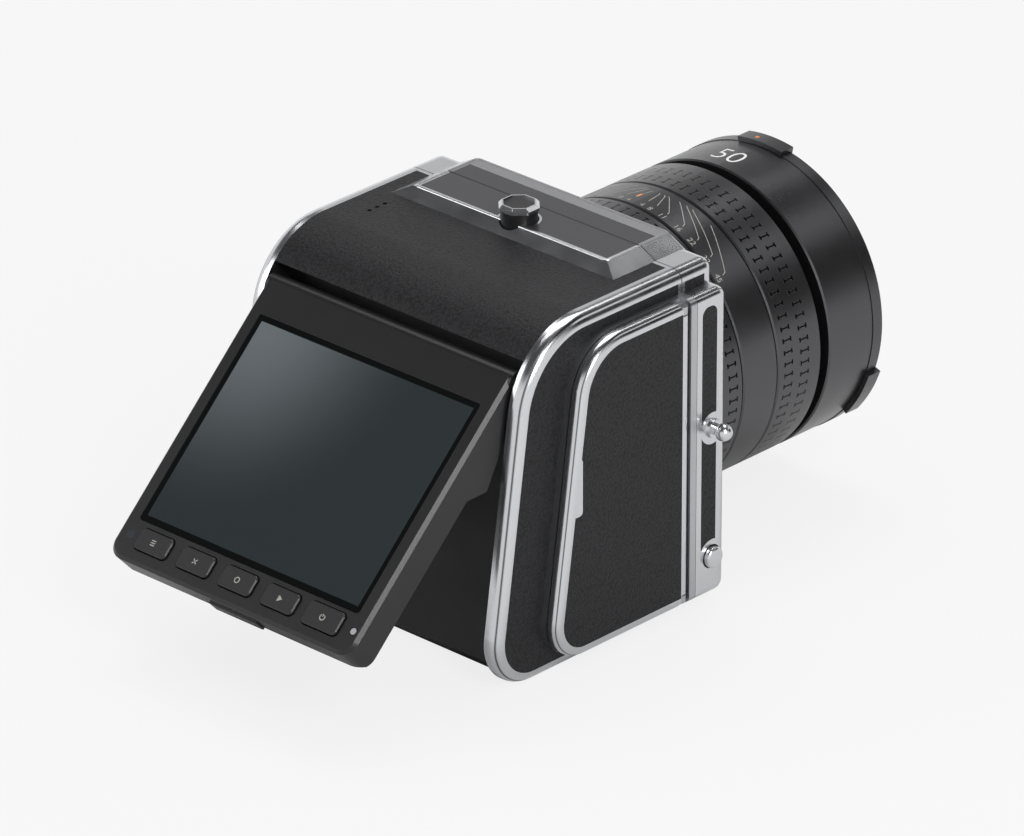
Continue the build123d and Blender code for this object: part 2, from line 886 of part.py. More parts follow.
# Battery and its latch on the left side
with BuildPart() as battery:
    with BuildSketch(side_plane(half_width - battery_length)):
        with Locations((battery_mid_y, battery_mid_z)):
            RectangleRounded(battery_depth, battery_height, battery_radius)
    extrude(amount=battery_length - battery_cap_thickness + battery_gap)
    with BuildSketch(side_plane(half_width - battery_cap_thickness + battery_gap)):
        with Locations((battery_mid_y, battery_mid_z)):
            RectangleRounded(
                battery_depth + 2 * battery_cap_margin,
                battery_height + 2 * battery_cap_margin,
                battery_radius,
            )
    extrude(amount=battery_cap_thickness - battery_gap)

with BuildPart() as battery_latch:
    with BuildSketch(side_plane(half_width - battery_latch_thickness)):
        with Locations((battery_latch_y, battery_latch_z)):
            RectangleRounded(battery_latch_length, battery_latch_height, battery_latch_height / 3)
    extrude(amount=battery_latch_thickness)
    with BuildSketch(side_plane(half_width)):
        with Locations((battery_latch_y, battery_latch_z)):
            RectangleRounded(
                battery_latch_height, battery_latch_height, battery_latch_height / 3
            )
    extrude(amount=battery_latch_grip)

# Display: a hinged housing, drawn in its own plane at the angle it rests at
cavity_half_width = display_half_width - display_cavity_margin
cavity_mid_run = (display_cavity_top_run + display_cavity_bottom_run) / 2
cavity_run = display_cavity_bottom_run - display_cavity_top_run
cavity_roof = display_face - display_wall
glass_mid_run = (glass_top_run + glass_bottom_run) / 2
glass_run = glass_bottom_run - glass_top_run
glass_floor = display_face - glass_drop - glass_thickness
keys = {
    "key_menu": (2 * key_pitch, 1),
    "key_cross": (key_pitch, 1),
    "key_select": (0, 1),
    "key_play": (-key_pitch, 1),
    "key_power": (-2 * key_pitch, power_key_scale_share),
}


def key_outline(x, scale_share, margin):
    with Locations((x, key_run)):
        RectangleRounded(
            scale_share * key_length + 2 * margin,
            scale_share * key_width + 2 * margin,
            key_radius + margin,
        )


with BuildPart() as display_housing:
    with BuildSketch(tilted_plane(-display_half_width, display_tilt)):
        Polygon(
            (0, display_face),
            (display_length, display_face),
            (display_length, display_back + display_foot_bevel),
            (display_length - display_foot_bevel, display_back),
            (display_slope_run, display_back),
            (0, -display_barrel_radius),
            align=None,
        )
    extrude(amount=2 * display_half_width)
    with BuildSketch(display_plane(display_back)):
        with Locations((0, display_length)):
            Rectangle(
                2 * display_half_width, 2 * display_length, align=(Align.CENTER, Align.MAX)
            )
        fillet(vertices().group_by(Axis.Y)[-1], display_corner_radius)
    extrude(amount=display_thickness, mode=Mode.INTERSECT)
    face_edges = display_housing.faces().sort_by(Axis((0, 0, 0), tuple(facing)))[-1].edges()
    chamfer(
        [edge for edge in face_edges if edge.center().Z < hinge_z - display_edge_radius],
        display_edge_radius,
    )
    with BuildSketch(tilted_plane(-display_half_width, display_tilt)):
        Circle(display_barrel_radius)
    extrude(amount=2 * display_half_width)
    for side in (-display_half_width, display_half_width - wing_width):
        with BuildSketch(tilted_plane(side, display_tilt)):
            wing_outline()
        extrude(amount=wing_width)
    with BuildSketch(display_plane(display_back + display_foot_bevel)):
        with Locations((0, display_length)):
            RectangleRounded(finger_bulge_width, 2 * finger_bulge_depth, finger_bulge_depth / 2)
    extrude(amount=finger_bulge_height)
    with BuildSketch(tilted_plane(-display_half_width, display_tilt)):
        Circle(hinge_pin_radius + hinge_pin_gap)
    extrude(amount=2 * display_half_width, mode=Mode.SUBTRACT)
    with BuildSketch(display_plane(glass_floor)):
        with Locations((0, glass_mid_run)):
            RectangleRounded(2 * glass_half_width, glass_run, glass_radius)
    extrude(amount=overrun, mode=Mode.SUBTRACT)
    with BuildSketch(display_plane(cavity_roof)):
        with Locations((0, glass_mid_run)):
            Rectangle(2 * (glass_half_width - glass_ledge), glass_run - 2 * glass_ledge)
        for x, scale_share in keys.values():
            key_outline(x, scale_share, key_gap)
    extrude(amount=overrun, mode=Mode.SUBTRACT)
    with BuildSketch(display_plane(cavity_roof)):
        with Locations((0, cavity_mid_run)):
            RectangleRounded(2 * cavity_half_width, cavity_run, display_cavity_radius)
    extrude(amount=-overrun, mode=Mode.SUBTRACT)
    with BuildSketch(display_plane(display_back + back_cover_thickness)):
        with Locations((0, cavity_mid_run)):
            RectangleRounded(
                2 * (cavity_half_width + back_cover_overlap),
                cavity_run + 2 * back_cover_overlap,
                display_cavity_radius,
            )
    extrude(amount=-overrun, mode=Mode.SUBTRACT)
    with BuildSketch(display_plane(display_face - lamp_depth)):
        with Locations((lamp_x, key_run)):
            Circle(lamp_radius)
        with Locations((sensor_window_x, key_run)):
            Circle(sensor_window_radius)
    extrude(amount=overrun, mode=Mode.SUBTRACT)

with BuildPart() as display_back_cover:
    with BuildSketch(display_plane(display_back)):
        with Locations((0, cavity_mid_run)):
            RectangleRounded(
                2 * (cavity_half_width + back_cover_overlap),
                cavity_run + 2 * back_cover_overlap,
                display_cavity_radius,
            )
    extrude(amount=back_cover_thickness)

with BuildPart() as display_glass:
    with BuildSketch(display_plane(glass_floor)):
        with Locations((0, glass_mid_run)):
            RectangleRounded(2 * glass_half_width, glass_run, glass_radius)
    extrude(amount=glass_thickness)

with BuildPart() as lcd_panel:
    with BuildSketch(display_plane(cavity_roof)):
        with Locations((0, display_cavity_top_run + screen_panel_gap)):
            RectangleRounded(
                2 * (cavity_half_width - screen_panel_gap),
                glass_bottom_run - display_cavity_top_run - screen_panel_gap,
                display_cavity_radius,
                align=(Align.CENTER, Align.MIN),
            )
    extrude(amount=-screen_panel_thickness)

with BuildPart() as display_lenses:
    with BuildSketch(display_plane(display_face - lamp_depth)):
        with Locations((lamp_x, key_run)):
            Circle(lamp_radius)
        with Locations((sensor_window_x, key_run)):
            Circle(sensor_window_radius)
    extrude(amount=lamp_depth)

# Keys under the screen, each with a collar inside the housing and a plunger towards its switch
key_collar_top = cavity_roof - key_gap
key_parts = {}
for name, (x, scale_share) in keys.items():
    with BuildPart() as key:
        with BuildSketch(display_plane(key_collar_top)):
            key_outline(x, scale_share, 0)
        extrude(amount=display_face + key_proud - key_collar_top)
        chamfer(
            key.faces().sort_by(Axis((0, 0, 0), tuple(facing)))[-1].edges(), key_edge_bevel
        )
        with BuildSketch(display_plane(key_collar_top)):
            key_outline(x, scale_share, key_flange)
        extrude(amount=-key_flange_thickness)
        with BuildSketch(display_plane(key_collar_top)):
            with Locations((x, key_run)):
                Circle(key_stem_radius)
        extrude(amount=display_back + back_cover_thickness + key_travel + key_gap - key_collar_top)
    key_parts[name] = key

# Inset skins of the camera body
bar_front_y = slab_front_y + bar_front_setback
side_strip_mid_y = seam_y - strip_start - strip_depth / 2
strip_high_z = block_top_z - strip_margin
with BuildPart() as body_top_strip:
    with BuildSketch(Plane.XY.offset(bar_top_z)):
        with Locations((0, seam_y - panel_setback)):
            Rectangle(
                2 * body_strip_half_width, body_strip_depth, align=(Align.CENTER, Align.MAX)
            )
    extrude(amount=-panel_depth)

with BuildPart() as body_leather_right:
    with BuildSketch(side_plane(-block_face_x)):
        with Locations((side_strip_mid_y, (strip_high_z + release_z) / 2)):
            RectangleRounded(strip_depth, strip_high_z - release_z, strip_corner_radius)
        with Locations((0, lug_z)):
            Circle(lug_boss_radius, mode=Mode.SUBTRACT)
        with Locations((0, release_z)):
            Circle(release_boss_radius, mode=Mode.SUBTRACT)
    extrude(amount=leather_thickness)
    with BuildSketch(side_plane(-half_width)):
        with Locations((seam_y - side_patch_start, block_top_z)):
            Rectangle(
                side_patch_depth,
                body_height - side_patch_top_inset - block_top_z,
                align=(Align.MAX, Align.MIN),
            )
    extrude(amount=leather_thickness)

with BuildPart() as body_leather_left:
    with BuildSketch(side_plane(half_width)):
        with Locations((side_strip_mid_y, body_height / 2)):
            RectangleRounded(
                strip_depth, body_height - 2 * front_leather_margin, strip_corner_radius
            )
        with Locations((0, lug_z)):
            Circle(lug_boss_radius, mode=Mode.SUBTRACT)
    extrude(amount=-leather_thickness)

with BuildPart() as front_leather:
    with BuildSketch(front_plane(slab_front_y + leather_thickness)):
        with Locations((0, body_height / 2)):
            RectangleRounded(
                body_width - 2 * front_leather_margin,
                body_height - 2 * front_leather_margin,
                edge_radius,
            )
        with Locations((0, lens_axis_z)):
            Circle(front_leather_ring_radius, mode=Mode.SUBTRACT)
        with Locations((shutter_x, shutter_z)):
            Circle(dial_radius + dial_lift, mode=Mode.SUBTRACT)
    extrude(amount=leather_thickness)

# Contacts and small fittings of the camera body
with BuildPart() as contact_pins:
    with BuildSketch(front_plane(seam_y)):
        with Locations((0, contact_strip_z)):
            with GridLocations(contact_pin_pitch, 0, contact_pin_count, 1):
                Circle(contact_pin_radius)
    extrude(amount=contact_strip_thickness)

with BuildPart() as contact_strip:
    with BuildSketch(front_plane(seam_y)):
        with Locations((0, contact_strip_z)):
            RectangleRounded(contact_strip_width, contact_strip_height, contact_pin_radius)
    extrude(amount=contact_strip_thickness)
    add(contact_pins.part, mode=Mode.SUBTRACT)

with BuildPart() as mount_contacts:
    with BuildSketch(front_plane(slab_front_y + mount_contact_root)):
        with Locations((0, lens_axis_z)):
            with PolarLocations(
                mount_contact_ring_radius,
                mount_contact_count,
                start_angle=270 - mount_contact_span,
                angular_range=2 * mount_contact_span,
                endpoint=True,
            ):
                Circle(mount_contact_radius)
    extrude(amount=mount_contact_root + mount_contact_length)

with BuildPart() as tripod_bush:
    with BuildSketch(Plane.XY):
        Circle(tripod_bush_radius)
    extrude(amount=tripod_bush_length)
    with BuildSketch(Plane.XY):
        Circle(tripod_thread_radius)
    extrude(amount=tripod_thread_depth, mode=Mode.SUBTRACT)

with BuildPart() as strap_lugs:
    for face_x, out in ((-block_face_x, -1), (half_width, 1)):
        with BuildSketch(side_plane(face_x)):
            with Locations((0, lug_z)):
                Circle(lug_root_radius)
        extrude(amount=-out * lug_root_depth)
        with BuildSketch(side_plane(face_x)):
            with Locations((0, lug_z)):
                Circle(lug_base_radius)
        extrude(amount=out * lug_base_height, taper=lug_taper_angle)
        with BuildSketch(side_plane(face_x)):
            with Locations((0, lug_z)):
                Circle(lug_neck_radius)
        extrude(amount=out * lug_ball_reach)
        with Locations((face_x + out * lug_ball_reach, 0, lug_z)):
            Sphere(lug_ball_radius)

release_depth = release_length - release_proud
with BuildPart() as lens_release:
    with BuildSketch(side_plane(-block_face_x + release_depth)):
        with Locations((0, release_z)):
            Circle(release_radius)
    extrude(amount=-release_length)
    fillet(lens_release.faces().sort_by(Axis.X)[0].edges(), release_dome_radius)

lock_pin_front = mount_flange_depth + lock_pin_reach
with BuildPart() as lens_lock_pin:
    with BuildSketch(front_plane(lens_y(lock_pin_front - lock_pin_length))):
        with Locations((-lock_pin_ring_radius, lens_axis_z)):
            Circle(lock_pin_radius)
    extrude(amount=lock_pin_length)

shutter_low_y = slab_front_y + shutter_root
with BuildPart() as shutter_release:
    with BuildSketch(front_plane(shutter_low_y)):
        with Locations((shutter_x, shutter_z)):
            Circle(shutter_radius)
    extrude(amount=shutter_root + shutter_proud)
    fillet(shutter_release.faces().sort_by(Axis.Y)[0].edges(), shutter_edge_radius)

with BuildPart() as control_dial:
    with BuildSketch(front_plane(slab_front_y - dial_lift)):
        with Locations((shutter_x, shutter_z)):
            Circle(dial_radius)
            Circle(dial_bore_radius, mode=Mode.SUBTRACT)
            with PolarLocations(dial_radius, dial_notch_count):
                Circle(dial_notch_radius, mode=Mode.SUBTRACT)
    extrude(amount=dial_height)

# Camera body: a thin slab, its raised right side and its half of the top bar
with BuildPart() as camera_frame:
    with BuildSketch(front_plane(seam_y)):
        with Locations((0, body_height / 2)):
            RectangleRounded(body_width, body_height, edge_radius)
    extrude(amount=slab_depth)
    fillet(camera_frame.faces().sort_by(Axis.Y)[0].edges(), front_edge_radius)
with BuildPart() as raised_side:
    with BuildSketch(front_plane(seam_y)):
        with Locations((-block_face_x, block_bottom_z)):
            RectangleRounded(
                block_face_x,
                block_top_z - block_bottom_z,
                block_edge_radius,
                align=(Align.MIN, Align.MIN),
            )
    extrude(amount=slab_depth)
    front_face = raised_side.faces().sort_by(Axis.Y)[0]
    fillet(
        [edge for edge in front_face.edges() if edge.center().X < -edge_radius], block_front_radius
    )
with BuildPart() as frame_bar:
    with BuildSketch(front_plane(seam_y)):
        Polygon(
            (-bar_foot_half_width, body_height - front_edge_radius),
            (bar_foot_half_width, body_height - front_edge_radius),
            (bar_foot_half_width, body_height),
            (bar_top_half_width, bar_top_z),
            (-bar_top_half_width, bar_top_z),
            (-bar_foot_half_width, body_height),
            align=None,
        )
    extrude(amount=seam_y - bar_front_y)
    bar_edges = frame_bar.faces().sort_by(Axis.Y)[0].edges()
    fillet([edge for edge in bar_edges if edge.center().Z > body_height], bar_front_radius)
with BuildPart() as body_casting:
    add(camera_frame.part)
    add(raised_side.part)
    add(frame_bar.part)
    with BuildSketch(front_plane(slab_front_y)):
        with Locations((shutter_x, shutter_z)):
            Circle(dial_seat_radius)
    extrude(amount=dial_seat_height)
    with BuildSketch(front_plane(seam_y)):
        with Locations((0, lens_axis_z)):
            Circle(light_hole_radius)
    extrude(amount=overrun, mode=Mode.SUBTRACT)
    with BuildSketch(side_plane(-block_face_x + release_depth + release_travel + running_gap)):
        with Locations((0, release_z)):
            Circle(release_radius + release_side_gap)
    extrude(amount=-overrun, mode=Mode.SUBTRACT)
    with BuildSketch(front_plane(shutter_low_y + shutter_travel + running_gap)):
        with Locations((shutter_x, shutter_z)):
            Circle(shutter_radius + running_gap)
    extrude(amount=overrun, mode=Mode.SUBTRACT)
    with BuildSketch(Plane.XY):
        Circle(tripod_bush_radius)
    extrude(amount=tripod_bush_length, mode=Mode.SUBTRACT)
    with BuildSketch(front_plane(seam_y)):
        with Locations((0, contact_strip_z)):
            RectangleRounded(contact_strip_width, contact_strip_height, contact_pin_radius)
    extrude(amount=contact_strip_thickness, mode=Mode.SUBTRACT)
    for fitting in (
        body_top_strip,
        body_leather_right,
        body_leather_left,
        front_leather,
        mount_contacts,
        strap_lugs,
    ):
        add(fitting.part, mode=Mode.SUBTRACT)

# Lens mount with three openings that let the lens tabs through
with BuildPart() as mount_screws:
    with BuildSketch(front_plane(lens_y(mount_flange_depth))):
        with Locations((0, lens_axis_z)):
            with PolarLocations(mount_screw_ring_radius, mount_screw_count, start_angle=45):
                Circle(mount_screw_radius)
    extrude(amount=-mount_screw_head_depth)
    with BuildSketch(front_plane(lens_y(mount_flange_depth))):
        with Locations((0, lens_axis_z)):
            with PolarLocations(mount_screw_ring_radius, mount_screw_count, start_angle=45):
                Circle(mount_screw_shank_radius)
    extrude(amount=-mount_screw_length)

with BuildPart() as mount_ring:
    with BuildSketch(side_plane(0)):
        ring_profile(
            (slab_depth, mount_groove_radius),
            (slab_depth, mount_ring_radius),
            (mount_flange_depth, mount_ring_radius),
            (mount_flange_depth, mount_bore_radius),
            (mount_flange_depth - mount_lip, mount_bore_radius),
            (mount_flange_depth - mount_lip, mount_groove_radius),
        )
    revolve(axis=lens_axis)
    with BuildSketch(front_plane(lens_y(mount_flange_depth))):
        sectors(
            mount_groove_radius,
            bayonet_radius,
            bayonet_tab_count,
            -90,
            bayonet_tab_angle + mount_notch_extra_angle,
        )
    extrude(amount=-mount_lip, mode=Mode.SUBTRACT)
    with BuildSketch(front_plane(slab_front_y)):
        with Locations((-lock_pin_ring_radius, lens_axis_z)):
            Circle(lock_pin_radius + bearing_gap)
    extrude(amount=overrun, mode=Mode.SUBTRACT)
    add(mount_screws.part, mode=Mode.SUBTRACT)

# Lens
with BuildPart() as lens_bayonet:
    with BuildSketch(side_plane(0)):
        ring_profile(
            (mount_flange_depth - bayonet_depth, bayonet_bore_radius),
            (mount_flange_depth - bayonet_depth, bayonet_radius),
            (mount_flange_depth, bayonet_radius),
            (mount_flange_depth, bayonet_bore_radius),
        )
    revolve(axis=lens_axis)
    with BuildSketch(front_plane(lens_y(mount_flange_depth - mount_lip - bayonet_tab_gap))):
        sectors(
            bayonet_tab_radius, bayonet_radius - ring_gap, bayonet_tab_count, 90, bayonet_tab_angle
        )
    extrude(amount=-bayonet_tab_thickness)

iris_pitch = iris_blade_thickness + iris_blade_gap
iris_back = iris_front - iris_blade_count * iris_pitch
with BuildPart() as lens_core:
    with BuildSketch(side_plane(0)):
        ring_profile(
            (mount_flange_depth, core_bore_radius),
            (mount_flange_depth, collar_radius),
            (collar_front, collar_radius),
            (collar_front, control_sleeve_radius),
            (scale_front, control_sleeve_radius),
            (scale_front, core_radius),
            (core_front, core_radius),
            (core_front, core_bore_radius),
            (iris_back, core_bore_radius),
            (iris_back, iris_ledge_inner_radius),
            (iris_back - iris_ledge_thickness, iris_ledge_inner_radius),
            (iris_back - iris_ledge_thickness, core_bore_radius),
        )
    revolve(axis=lens_axis)
    with BuildSketch(front_plane(lens_y(mount_flange_depth))):
        with Locations((-lock_pin_ring_radius, lens_axis_z)):
            Circle(lock_pin_radius + running_gap)
    extrude(amount=lock_pin_reach + running_gap, mode=Mode.SUBTRACT)

with BuildPart() as iris_blades:
    for blade in range(iris_blade_count):
        with BuildSketch(front_plane(lens_y(iris_back + blade * iris_pitch))):
            sectors(
                iris_outer_radius,
                iris_inner_radius,
                1,
                blade * 360 / iris_blade_count,
                iris_blade_angle,
            )
        extrude(amount=iris_blade_thickness)


def lens_sleeve(back, front, inner_radius, outer_radius):
    # Plain ring of the lens with broken outer corners
    ring_profile(
        (back, inner_radius),
        (back, outer_radius - ring_chamfer),
        (back + ring_chamfer, outer_radius),
        (front - ring_chamfer, outer_radius),
        (front, outer_radius - ring_chamfer),
        (front, inner_radius),
    )


with BuildPart() as control_ring:
    with BuildSketch(side_plane(0)):
        lens_sleeve(
            collar_front + ring_gap, control_front, control_sleeve_radius + bearing_gap, lens_radius
        )
    revolve(axis=lens_axis)

with BuildPart() as scale_sleeve:
    with BuildSketch(side_plane(0)):
        lens_sleeve(control_front + ring_gap, scale_front, control_sleeve_radius, lens_radius)
    revolve(axis=lens_axis)

with BuildPart() as clutch_sleeve:
    with BuildSketch(side_plane(0)):
        ring_profile(
            (scale_front + ring_gap, core_radius + bearing_gap),
            (scale_front + ring_gap, clutch_radius),
            (focus_front, clutch_radius),
            (focus_front, core_radius + bearing_gap),
        )
    revolve(axis=lens_axis)

with BuildPart() as focus_ring:
    with BuildSketch(side_plane(0)):
        lens_sleeve(scale_front + ring_gap, focus_front, clutch_radius + bearing_gap, lens_radius)
    revolve(axis=lens_axis)

with BuildPart() as front_barrel:
    with BuildSketch(side_plane(0)):
        ring_profile(
            (groove_front, core_radius),
            (groove_front, lens_radius - ring_chamfer),
            (groove_front + ring_chamfer, lens_radius),
            (barrel_front, lens_radius),
            (barrel_front, barrel_seat_radius),
            (core_front, barrel_seat_radius),
            (core_front, core_radius),
        )
    revolve(axis=lens_axis)

with BuildPart() as front_ring:
    with BuildSketch(side_plane(0)):
        ring_profile(
            (core_front, front_glass_radius),
            (core_front, barrel_seat_radius),
            (barrel_front, barrel_seat_radius),
            (barrel_front, front_ring_radius),
            (lens_front - ring_chamfer, front_ring_radius),
            (lens_front, front_ring_radius - ring_chamfer),
            (lens_front, filter_thread_radius),
            (lens_front - filter_thread_depth, filter_thread_radius),
            (lens_front - filter_thread_depth, filter_thread_radius - ring_chamfer),
            (lens_front - bezel_depth, front_glass_radius),
        )
    revolve(axis=lens_axis)
    with BuildSketch(front_plane(lens_y(hood_lug_back))):
        sectors(hood_lug_radius, front_ring_radius, hood_lug_count, 90, hood_lug_angle)
    extrude(amount=hood_lug_front - hood_lug_back)
    with BuildSketch(front_plane(lens_y(lens_front))):
        sectors(
            hood_lug_radius, front_ring_radius - hood_lug_root, hood_lug_count, 90, hood_lug_angle
        )
    extrude(amount=hood_lug_front - lens_front)


def lens_element(front_edge, radius, thickness, crown):
    # Half section of a glass disc with a domed front
    back_y = lens_y(front_edge - thickness)
    edge_y = lens_y(front_edge)
    with BuildSketch() as disc:
        with BuildLine():
            SagittaArc((edge_y, lens_axis_z + radius), (edge_y, lens_axis_z - radius), crown)
            Polyline(
                (edge_y, lens_axis_z - radius),
                (back_y, lens_axis_z - radius),
                (back_y, lens_axis_z + radius),
                (edge_y, lens_axis_z + radius),
            )
        make_face()
        with Locations(((back_y + edge_y) / 2, lens_axis_z)):
            Rectangle(overrun, radius, align=(Align.CENTER, Align.MIN), mode=Mode.INTERSECT)
    return disc.sketch


with BuildPart() as front_glass:
    front_edge = lens_front - bezel_depth - bezel_lip
    with BuildSketch(side_plane(0)):
        add(
            lens_element(
                front_edge, front_glass_radius, front_glass_thickness, front_glass_crown
            )
        )
    revolve(axis=lens_axis)

with BuildPart() as rear_glass:
    front_edge = mount_flange_depth - bezel_lip
    with BuildSketch(side_plane(0)):
        add(lens_element(front_edge, bayonet_bore_radius, rear_glass_thickness, rear_glass_crown))
    revolve(axis=lens_axis)

save(body_casting, "camera_frame")
save(body_top_strip, "body_top_strip")
save(body_leather_right, "body_leather_right")
save(body_leather_left, "body_leather_left")
save(front_leather, "front_leather")
save(mount_ring, "mount_ring")
save(mount_screws, "mount_screws")
save(mount_contacts, "mount_contacts")
save(lens_release, "lens_release")
save(lens_lock_pin, "lens_lock_pin")
save(shutter_release, "shutter_release")
save(control_dial, "control_dial")
save(strap_lugs, "strap_lugs")
save(tripod_bush, "tripod_bush")
save(contact_strip, "contact_strip")
save(contact_pins, "contact_pins")
save(back_housing, "back_housing")
save(top_leather, "top_leather")
save(side_leather_right, "side_leather_right")
save(side_leather_left, "side_leather_left")
save(port_block, "port_block")
save(port_door, "port_door")
save(port_door_leather, "port_door_leather")
save(port_hinge_pin, "port_hinge_pin")
save(port_panel, "port_panel")
save(port_sockets, "port_sockets")
save(latch_bar, "latch_bar")
save(latch_panel, "latch_panel")
save(latch_button, "latch_button")
save(latch_cap, "latch_cap")
save(latch_plate, "latch_plate")
save(sensor_frame, "sensor_frame")
save(sensor_glass, "sensor_glass")
save(image_sensor, "image_sensor")
save(heat_block, "heat_block")
save(main_board, "main_board")
save(battery, "battery")
save(battery_latch, "battery_latch")
save(hinge_pin, "hinge_pin")
save(display_housing, "display_housing")
save(display_back_cover, "display_back_cover")
save(display_glass, "display_glass")
save(lcd_panel, "lcd_panel")
save(display_lenses, "display_lenses")
for name, key in key_parts.items():
    save(key, name)
save(lens_bayonet, "lens_bayonet")
save(lens_core, "lens_core")
save(control_ring, "control_ring")
save(scale_sleeve, "scale_sleeve")
save(clutch_sleeve, "clutch_sleeve")
save(focus_ring, "focus_ring")
save(front_barrel, "front_barrel")
save(front_ring, "front_ring")
save(front_glass, "front_glass")
save(rear_glass, "rear_glass")
save(iris_blades, "iris_blades")
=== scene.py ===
import math

import bpy
import numpy as np
from mathutils import Matrix, Vector


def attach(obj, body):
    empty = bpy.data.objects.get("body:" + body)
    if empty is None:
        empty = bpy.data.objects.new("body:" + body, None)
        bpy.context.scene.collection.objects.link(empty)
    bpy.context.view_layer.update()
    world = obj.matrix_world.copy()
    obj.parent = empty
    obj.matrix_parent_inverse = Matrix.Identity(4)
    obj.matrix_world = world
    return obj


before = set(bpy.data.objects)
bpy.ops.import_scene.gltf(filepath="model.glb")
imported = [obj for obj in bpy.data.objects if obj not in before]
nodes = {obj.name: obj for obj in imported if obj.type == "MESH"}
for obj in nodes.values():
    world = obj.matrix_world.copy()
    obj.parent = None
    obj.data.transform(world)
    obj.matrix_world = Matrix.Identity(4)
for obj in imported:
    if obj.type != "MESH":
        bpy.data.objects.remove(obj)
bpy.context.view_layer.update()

print("frame loaded:", len(nodes), "nodes")

mm = 0.001
seamY = 5.8 * mm  # joint between the camera body and the digital back
lensZ = 46.2 * mm  # height of the lens axis
lensR = 38.0 * mm  # outer radius of the lens rings


def linear(hexCode):  # sRGB hex to the linear colour that shaders use
    channels = [int(hexCode[i:i + 2], 16) / 255 for i in (1, 3, 5)]
    return [c / 12.92 if c <= 0.04045 else ((c + 0.055) / 1.055) ** 2.4 for c in channels] + [1.0]


def setInputs(node, links):
    # an input takes a value, a socket, or another node, which stands for its first output in use
    for name, value in links.items():
        if isinstance(name, int):
            socket = node.inputs[name]
        else:
            socket = next(s for s in node.inputs if s.enabled and s.name == name)
        if isinstance(value, bpy.types.Node):
            value = next(s for s in value.outputs if s.enabled)
        if isinstance(value, bpy.types.NodeSocket):
            node.id_data.links.new(value, socket)
        else:
            socket.default_value = value


def addNode(tree, kind, links=None, **settings):  # one node with its settings, values and links
    node = tree.nodes.new("ShaderNode" + kind)
    for name, value in settings.items():
        setattr(node, name, value)
    setInputs(node, links or {})
    return node


def newMaterial(name, shader=None):
    # a Principled material with its constants on the shader: returns the material, its tree, the
    # shader and the object coordinates
    material = bpy.data.materials.new(name)
    material.use_nodes = True
    tree = material.node_tree
    tree.nodes.clear()
    bsdf = addNode(tree, "BsdfPrincipled", shader)
    addNode(tree, "OutputMaterial", {"Surface": bsdf})
    return material, tree, bsdf, addNode(tree, "TexCoord").outputs["Object"]


def dress(material, *names):  # a CAD node keeps its mesh and takes this material in every slot
    for name in names:
        mesh = nodes[name].data
        mesh.materials.clear()
        mesh.materials.append(material)


def gridFaces(rows, columns, tube=False):
    # corner numbers of the cells in a grid of points whose rows close into a ring; a tube's columns
    # close too, and its cells are listed the other way round
    index = np.arange(rows * columns).reshape(rows, columns)
    index = np.vstack([index, index[:1]])
    if tube:
        index = np.hstack([index, index[:, :1]])
    corners = [index[:-1, :-1], index[:-1, 1:], index[1:, 1:], index[1:, :-1]]
    if tube:
        corners = [corners[0], corners[3], corners[2], corners[1]]
    return np.stack(corners, -1).reshape(-1, 4)


def newMesh(name, points, faces, material):
    mesh = bpy.data.meshes.new(name)
    mesh.from_pydata(np.asarray(points).tolist(), [], np.asarray(faces).tolist())
    mesh.validate()
    mesh.materials.append(material)
    return mesh


def addObject(name, data):
    shown = bpy.data.objects.new(name, data)
    bpy.context.scene.collection.objects.link(shown)
    return shown


def addPiece(name, points, faces, material, body):
    piece = addObject(name, newMesh(name, points, faces, material))
    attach(piece, body)
    return piece


def boxedRibbon(name, path, width, thickness, place, material, body):
    # a flat stroke carried along a 2D path: each side is the path moved half a width along the
    # mitre of its corners, low and high, and the two ends are closed
    path = np.asarray(path, float)
    step = np.diff(path, axis=0)
    step /= np.linalg.norm(step, axis=1, keepdims=True)
    before = np.vstack([step[:1], step])
    after = np.vstack([step, step[-1:]])
    mitre = before + after
    mitre /= np.linalg.norm(mitre, axis=1, keepdims=True)
    side = np.column_stack([-mitre[:, 1], mitre[:, 0]])
    lean = (side * np.column_stack([-before[:, 1], before[:, 0]])).sum(1, keepdims=True)
    reach = side * width / 2 / np.clip(lean, 0.5, 1)  # a sharp corner's mitre stops at twice the width
    edges = ((path + reach, 0), (path + reach, thickness), (path - reach, thickness), (path - reach, 0))
    points = np.vstack([np.column_stack([edge, np.full(len(path), height)]) for edge, height in edges])
    index = np.arange(len(points)).reshape(4, len(path))
    faces = np.vstack([gridFaces(4, len(path)), index[:, 0], index[::-1, -1]])
    return addPiece(name, place(points), faces, material, body)


def onLens(flat, radius=lensR):
    # flat x is the angle in degrees from -X up over the top, flat y the distance forward of the seam
    # in millimetres, flat z the height above the surface in millimetres
    angle = np.radians(flat[:, 0])
    r = radius + flat[:, 2] * mm
    return np.column_stack([-r * np.cos(angle), seamY - flat[:, 1] * mm, lensZ + r * np.sin(angle)])


def anyOf(tree, *masks):  # 1 where any of the masks is
    joined = masks[0]
    for mask in masks[1:]:
        joined = addNode(tree, "Math", {0: joined, 1: mask}, operation="MAXIMUM")
    return joined


def allOf(tree, *masks):  # 1 where all of the masks are
    joined = masks[0]
    for mask in masks[1:]:
        joined = addNode(tree, "Math", {0: joined, 1: mask}, operation="MULTIPLY")
    return joined


def insideBox(tree, place, low, high):
    # 1 where the place lies between the two corners (millimetres), else 0: each axis is compared
    # with the middle of its span
    split = addNode(tree, "SeparateXYZ", {"Vector": place}).outputs
    masks = []
    for axis, a, b in zip("XYZ", low, high):
        masks.append(addNode(tree, "Math", {0: split[axis], 1: (a + b) / 2 * mm, 2: (b - a) / 2 * mm},
                             operation="COMPARE"))
    return allOf(tree, *masks)


